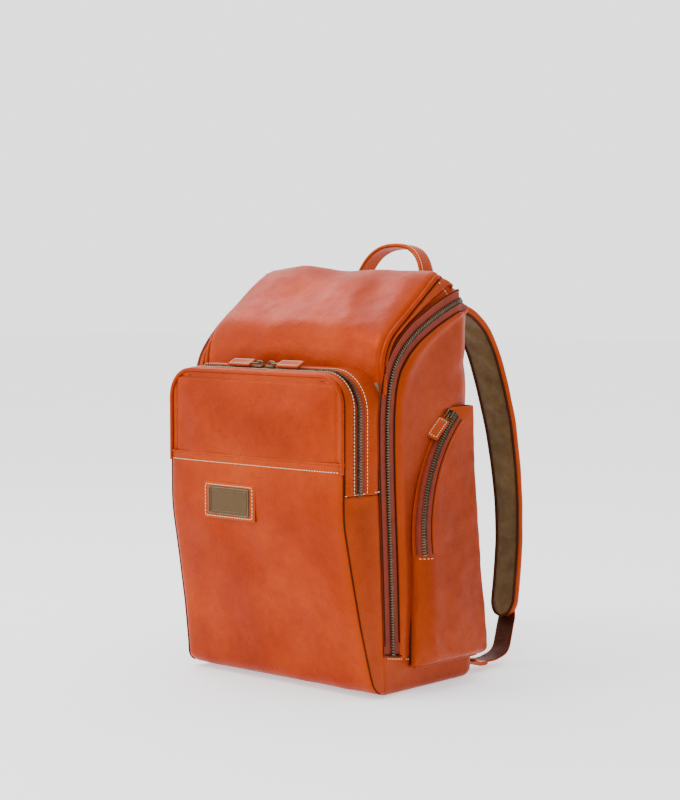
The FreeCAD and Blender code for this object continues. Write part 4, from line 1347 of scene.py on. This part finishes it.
def slab_object(name, layers, place, look, twist=0.0):
    """Joins a slab's rings into one closed piece, set in its place."""
    count = len(layers[0])
    faces = []
    for level in range(len(layers) - 1):
        low, high = level * count, (level + 1) * count
        for k in range(count):
            n = (k + 1) % count
            faces.append((low + k, low + n, high + n, high + k))
    faces.append(tuple(range(count))[::-1])
    faces.append(tuple((len(layers) - 1) * count + k for k in range(count)))
    return new_object(name, placed(np.vstack(layers), place, twist=twist), faces, [look])


PULL_TWIST = {"side_right": -38.0, "side_left": 38.0, "pocket_right": 26.0, "pocket_left": -26.0}


def make_slider(name):
    place = slider_place(name)
    body = slab_object(name + "_shoe", rounded_slab(12.0, 9.4, 3.2, -6.0, 1.9, 3.6), place, BRASS)
    ride(body, name + "_slider", "brass", name + "_slider")
    bridge = route([(-4.6, 0, 3.0), ((-4.2, 0, 7.4), 2.4), ((4.2, 0, 7.4), 2.4), (4.6, 0, 3.0)], 24)
    ride(tube(name + "_bridge", placed(bridge, place), 1.0, BRASS), name + "_slider", "brass")

    tab_start = 10.0
    length = 34.0 if name.startswith("pocket") else 29.0
    width = 14.0
    twist = PULL_TWIST.get(name, 0.0)
    ring = route([(0.2, -2.2, 5.4), ((0.2, 2.2, 5.4), 1.4), ((tab_start + 2.5, 3.0, 5.4), 1.6),
                  ((tab_start + 2.5, -3.0, 5.4), 1.6), ((0.2, -2.2, 5.4), 1.4), (0.2, 0.0, 5.4)], 48)
    link = tube(name + "_link", placed(ring, place), 0.8, BRASS)
    ride(link, name + "_pull", "brass")
    layers = rounded_slab(length, width, 3.4, tab_start, 5.2, 2.6)
    tab = slab_object(name + "_tab", layers, place, TRIM, twist)
    ride(tab, name + "_pull", "pull_leather", name + "_pull")
    inset = 2.6
    line = route([(tab_start + inset, 0, 7.0), ((tab_start + inset, -width / 2 + inset, 7.0), 1.5),
                  ((tab_start + length - inset, -width / 2 + inset, 7.0), 1.5),
                  ((tab_start + length - inset, width / 2 - inset, 7.0), 1.5),
                  ((tab_start + inset, width / 2 - inset, 7.0), 1.5), (tab_start + inset, 0, 7.0)], 90)
    ride(stitches(name + "_pull_stitching", [(placed(line, place, twist=twist), place[3])], 3.0, 2.1, 0.4),
         name + "_pull", "pull_leather")


# ---------------------------------------------------------------- handle and straps

def make_handle():
    top = span("carry_handle")[1][2]
    foot = 398.0
    lean = math.tan(math.radians(12.0))
    middle_y = 96.0
    width = 25.0
    rows = []
    centre = []
    for share in np.linspace(0, 1, 70):
        angle = math.pi * share
        reach = 58.0 if share < 0.5 else 51.0
        x = -reach * math.copysign(abs(math.cos(angle)) ** 0.8, math.cos(angle))
        z = foot + (top - 1.0 - foot) * abs(math.sin(angle)) ** 0.75
        centre.append((x, middle_y + (z - foot) * lean, z))
    centre = resample(centre, 70)
    tangents = np.gradient(centre, axis=0)
    tangents = tangents / np.linalg.norm(tangents, axis=1, keepdims=True)
    across = np.array([0.0, math.cos(math.atan(lean)), -lean * 0.5])
    for point in centre:
        narrow = 1.0 - 0.16 * smooth(point[2], 430.0, foot - 1.0)
        rows.append([point + across * width / 2 * share * narrow for share in np.linspace(-1, 1, 11)])

    def relief(point, u, v):
        return 0.9 * (1 - abs(2 * v - 1) ** 3) + 0.3 * wobble(point, 15.0)

    handle = sheet("handle", rows, [TRIM], (0, 100, 380), 4.6, relief)
    ride(handle, "carry_handle", "leather", "carry_handle")
    lines = []
    for side in (-1, 1):
        line = []
        normals = []
        for point, tangent in zip(centre, tangents):
            out = unit(np.cross(tangent, across))
            out = out if float(out @ (point - np.array([0, 100, 400]))) > 0 else -out
            line.append(point + across * (width / 2 - 3.0) * side + out * 0.7)
            normals.append(out)
        lines.append((np.array(line), np.array(normals)))
    ride(stitches("handle_stitching", lines, 3.4, 2.4, 0.45), "carry_handle", "leather")


STRAP_LINE = [
    (86.0, 411.0), (104.0, 414.0), (128.0, 408.0), (155.0, 388.0), (173.0, 359.0), (187.0, 318.0),
    (199.0, 271.0), (205.0, 223.0), (207.0, 181.0), (204.0, 134.0), (196.0, 93.0), (189.0, 64.0),
    (184.0, 46.0),
]


def strap_frames(count):
    """The strap's outer line, with its outward normals, before it splays."""
    line = resample(STRAP_LINE, count)
    for _ in range(14):
        line[1:-1] = (line[:-2] + 2 * line[1:-1] + line[2:]) / 4
    path = np.column_stack((np.full(count, 75.0), line))
    tangents = np.gradient(path, axis=0)
    tangents = tangents / np.linalg.norm(tangents, axis=1, keepdims=True)
    out = np.cross(np.array([1.0, 0.0, 0.0]), tangents)
    out[:, 0] = 0
    if out[count // 2][1] < 0:
        out = -out
    return path, out


def splayed(point, sign):
    """Leans a strap point out with the CAD strap, and mirrors it for the left."""
    angle = -math.radians(4.2)
    dx = point[0] - 75.0
    dz = point[2] - 411.0
    x = 75.0 + dx * math.cos(angle) + dz * math.sin(angle)
    z = 411.0 - dx * math.sin(angle) + dz * math.cos(angle)
    return np.array([sign * x, point[1], z])


def make_straps():
    count = 120
    path, out = strap_frames(count)
    total = length_of(path)
    half = 21.8

    def half_at(index):
        left = total * (1 - index / (count - 1))
        tip = math.sqrt(max(0.0, 1 - max(0.0, 1 - left / 20.0) ** 2))
        waist = 1.0 - 0.2 * smooth(index / count, 0.35, 0.8)
        return half * tip * waist * (0.86 + 0.14 * smooth(index / count, 0.0, 0.1))

    section = [(-0.86, -10.2), (-0.97, -9.0), (-1.02, -6.4), (-0.99, -3.0), (-0.9, -0.9), (-0.7, 0.0),
               (-0.35, 0.5), (0.0, 0.7), (0.35, 0.5), (0.7, 0.0), (0.9, -0.9), (0.99, -3.0),
               (1.02, -6.4), (0.97, -9.0), (0.86, -10.2)]
    for sign, side in ((1, "right"), (-1, "left")):
        body = "strap_" + side
        rows = []
        for index in range(count):
            width = max(1.5, half_at(index))
            centre = path[index]
            rows.append([splayed(centre + np.array([width * across, 0, 0]) + out[index] * depth, sign)
                         for across, depth in section])

        def relief(point, u, v):
            return 0.45 * wobble(point, 26.0, 4.0)

        centre = splayed(path[count // 2] - out[count // 2] * 5.0, sign)
        skin = sheet("strap_skin_" + side, rows, [TRIM], tuple(centre - np.array([0, 40, 0])), 1.6, relief)
        ride(skin, body, "leather", "strap_leather_" + side)
        rows = []
        for index in range(count):
            width = max(1.0, half_at(index) * 0.82)
            rows.append([splayed(path[index] + np.array([width * across, 0, 0])
                                 - out[index] * (10.3 + 1.5 * (1 - across ** 2)), sign)
                         for across in np.linspace(-1, 1, 13)])

        def puckers(point, u, v):
            ripple = 1.7 * wobble(point, 12.0, 2.0) + 0.8 * math.sin(point[2] / 4.4 + point[0] / 8.0)
            return ripple * (1 - abs(2 * v - 1) ** 2)

        lining = sheet("strap_canvas_" + side, rows, [CANVAS], tuple(centre + np.array([0, 60, 0])),
                       1.2, puckers)
        ride(lining, body, "canvas", "strap_pad_" + side, "strap_lining_" + side)
        edge = []
        for index in range(4, count):
            edge.append(splayed(path[index] + np.array([half_at(index) * 0.87, 0, 0])
                                - out[index] * 10.4, sign))
        for index in range(count - 1, 3, -1):
            edge.append(splayed(path[index] - np.array([half_at(index) * 0.87, 0, 0])
                                - out[index] * 10.4, sign))
        ride(tube("strap_binding_" + side, edge, 1.7, BINDING), body, "leather")
        make_lower_strap(sign, side)


def make_lower_strap(sign, side):
    width = 25.0
    high = span("strap_tabs")[1]
    line = route([(191.0, 80.0), ((185.0, 48.0), 16.0), ((154.0, 12.0), 30.0), ((130.0, 7.4), 40.0),
                  (high[1] - 6.0, 7.6)], 60)
    rows = []
    for y, z in line:
        middle = 116.5 - 15.5 * smooth(z, 4.0, 60.0)
        rows.append([(sign * (middle + width / 2 * share), y, z) for share in np.linspace(-1, 1, 7)])

    def relief(point, u, v):
        return 0.5 * (1 - abs(2 * v - 1) ** 3)

    strap = sheet("lower_strap_" + side + "_leather", rows, [TRIM, BINDING], (0, 120, 90), 2.2, relief)
    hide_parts("lower_strap_" + side)
    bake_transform(strap)
    rows = []
    for share in np.linspace(0, 1, 12):
        y = REAR + 0.8 + (high[1] - REAR - 1.0) * share
        z = 18.0 - 8.0 * smooth(share, 0.0, 0.7)
        reach = width / 2 + 2.5 + 6.0 * (1 - smooth(share, 0.0, 0.5))
        rows.append([(sign * 116.5 + reach * s, y, z) for s in np.linspace(-1, 1, 9)])
    tab = sheet("strap_tab_" + side, rows, [TRIM], (sign * 116.0, 95.0, -40.0), 4.4)
    ride(tab, "bag", "leather")
    line = [(sign * 116.5 + 10.5 * s, REAR + 16.0, 15.2) for s in np.linspace(-1, 1, 8)]
    ride(stitches("strap_tab_stitching_" + side, [(line, (0, 0.2, 1))]), "bag", "leather")


# ---------------------------------------------------------------- stage

def make_stage():
    reach = 9000
    floor = new_object("floor", [(-reach, -reach, 0), (reach, -reach, 0), (reach, reach, 0),
                                 (-reach, reach, 0)], [(0, 1, 2, 3)], [])
    floor.location.z = -0.0004
    material, tree, shader, where = node_tree("studio_floor")
    tone = ramp(tree, noise_node(tree, where, 2.0, 2.0),
                ((0.3, (0.80, 0.795, 0.80)), (0.7, (0.81, 0.805, 0.81))))
    tree.links.new(tone, shader.inputs["Base Color"])
    shader.inputs["Roughness"].default_value = 0.9
    shader.inputs["Specular IOR Level"].default_value = 0.1
    shader.inputs["Emission Color"].default_value = (1.0, 0.99, 1.0, 1.0)
    shader.inputs["Emission Strength"].default_value = 0.7
    floor.data.materials.append(material)

    world = bpy.data.worlds.new("studio")
    world.use_nodes = True
    tree = world.node_tree
    where = tree.nodes.new("ShaderNodeTexCoord")
    bright = tree.nodes.new("ShaderNodeVectorMath")
    bright.operation = "DOT_PRODUCT"
    bright.inputs[1].default_value = (-0.6, 0.15, 0.15)
    tree.links.new(where.outputs["Generated"], bright.inputs[0])
    level = tree.nodes.new("ShaderNodeMapRange")
    level.inputs["From Min"].default_value = -0.7
    level.inputs["From Max"].default_value = 0.45
    level.inputs["To Min"].default_value = 0.7
    level.inputs["To Max"].default_value = 2.2
    tree.links.new(bright.outputs["Value"], level.inputs["Value"])
    tree.nodes["Background"].inputs[0].default_value = (1.0, 0.99, 1.0, 1)
    tree.links.new(level.outputs["Result"], tree.nodes["Background"].inputs[1])
    bpy.context.scene.world = world

    def lamp(name, place, target, size, power, colour=(1, 1, 1)):
        data = bpy.data.lights.new(name, "AREA")
        data.energy = power
        data.size = size
        data.color = colour
        light = bpy.data.objects.new(name, data)
        light.location = place
        aim = Vector(target) - Vector(place)
        light.rotation_euler = aim.to_track_quat("-Z", "Y").to_euler()
        bpy.context.scene.collection.objects.link(light)

    lamp("key", (-0.6, -1.4, 2.0), (0, 0, 0.35), 0.6, 24.0)
    lamp("left", (-1.5, -1.7, 0.9), (0, -0.1, 0.3), 0.5, 7.0)
    lamp("crown", (-1.3, 0.3, 1.7), (0, 0, 0.4), 0.6, 7.0)
    lamp("top", (0.3, -0.2, 2.2), (0, 0, 0.3), 0.9, 7.0)
    lamp("front", (1.2, -2.0, 1.0), (0, 0, 0.25), 0.5, 4.0)


def make_camera():
    """The camera stands at the photograph's angle, aimed at the bag's front right corner."""
    data = bpy.data.cameras.new("camera")
    data.lens = 87.7
    data.sensor_width = 36.0
    camera = bpy.data.objects.new("camera", data)
    azimuth = math.radians(41.85)
    pitch = math.radians(3.82)
    forward = Vector((-math.sin(azimuth) * math.cos(pitch),
                      math.cos(azimuth) * math.cos(pitch), -math.sin(pitch)))
    camera.location = (1.4588, -1.6218, 0.451)
    camera.rotation_euler = forward.to_track_quat("-Z", "Y").to_euler()
    bpy.context.scene.collection.objects.link(camera)
    bpy.context.scene.camera = camera


make_camera()
make_stage()
make_base()
make_sides()
make_back()
make_main_zip()
make_hood()
make_slip_pocket()
make_lower_gussets()
make_pocket_top()
make_flap()
make_plaque()
make_side_pockets()
for zip_name in ("pocket_right", "pocket_left", "main_right", "main_left",
                 "side_right", "side_left", "top"):
    make_slider(zip_name)
make_handle()
make_straps()
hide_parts("strap_tabs")

bpy.context.view_layer.update()
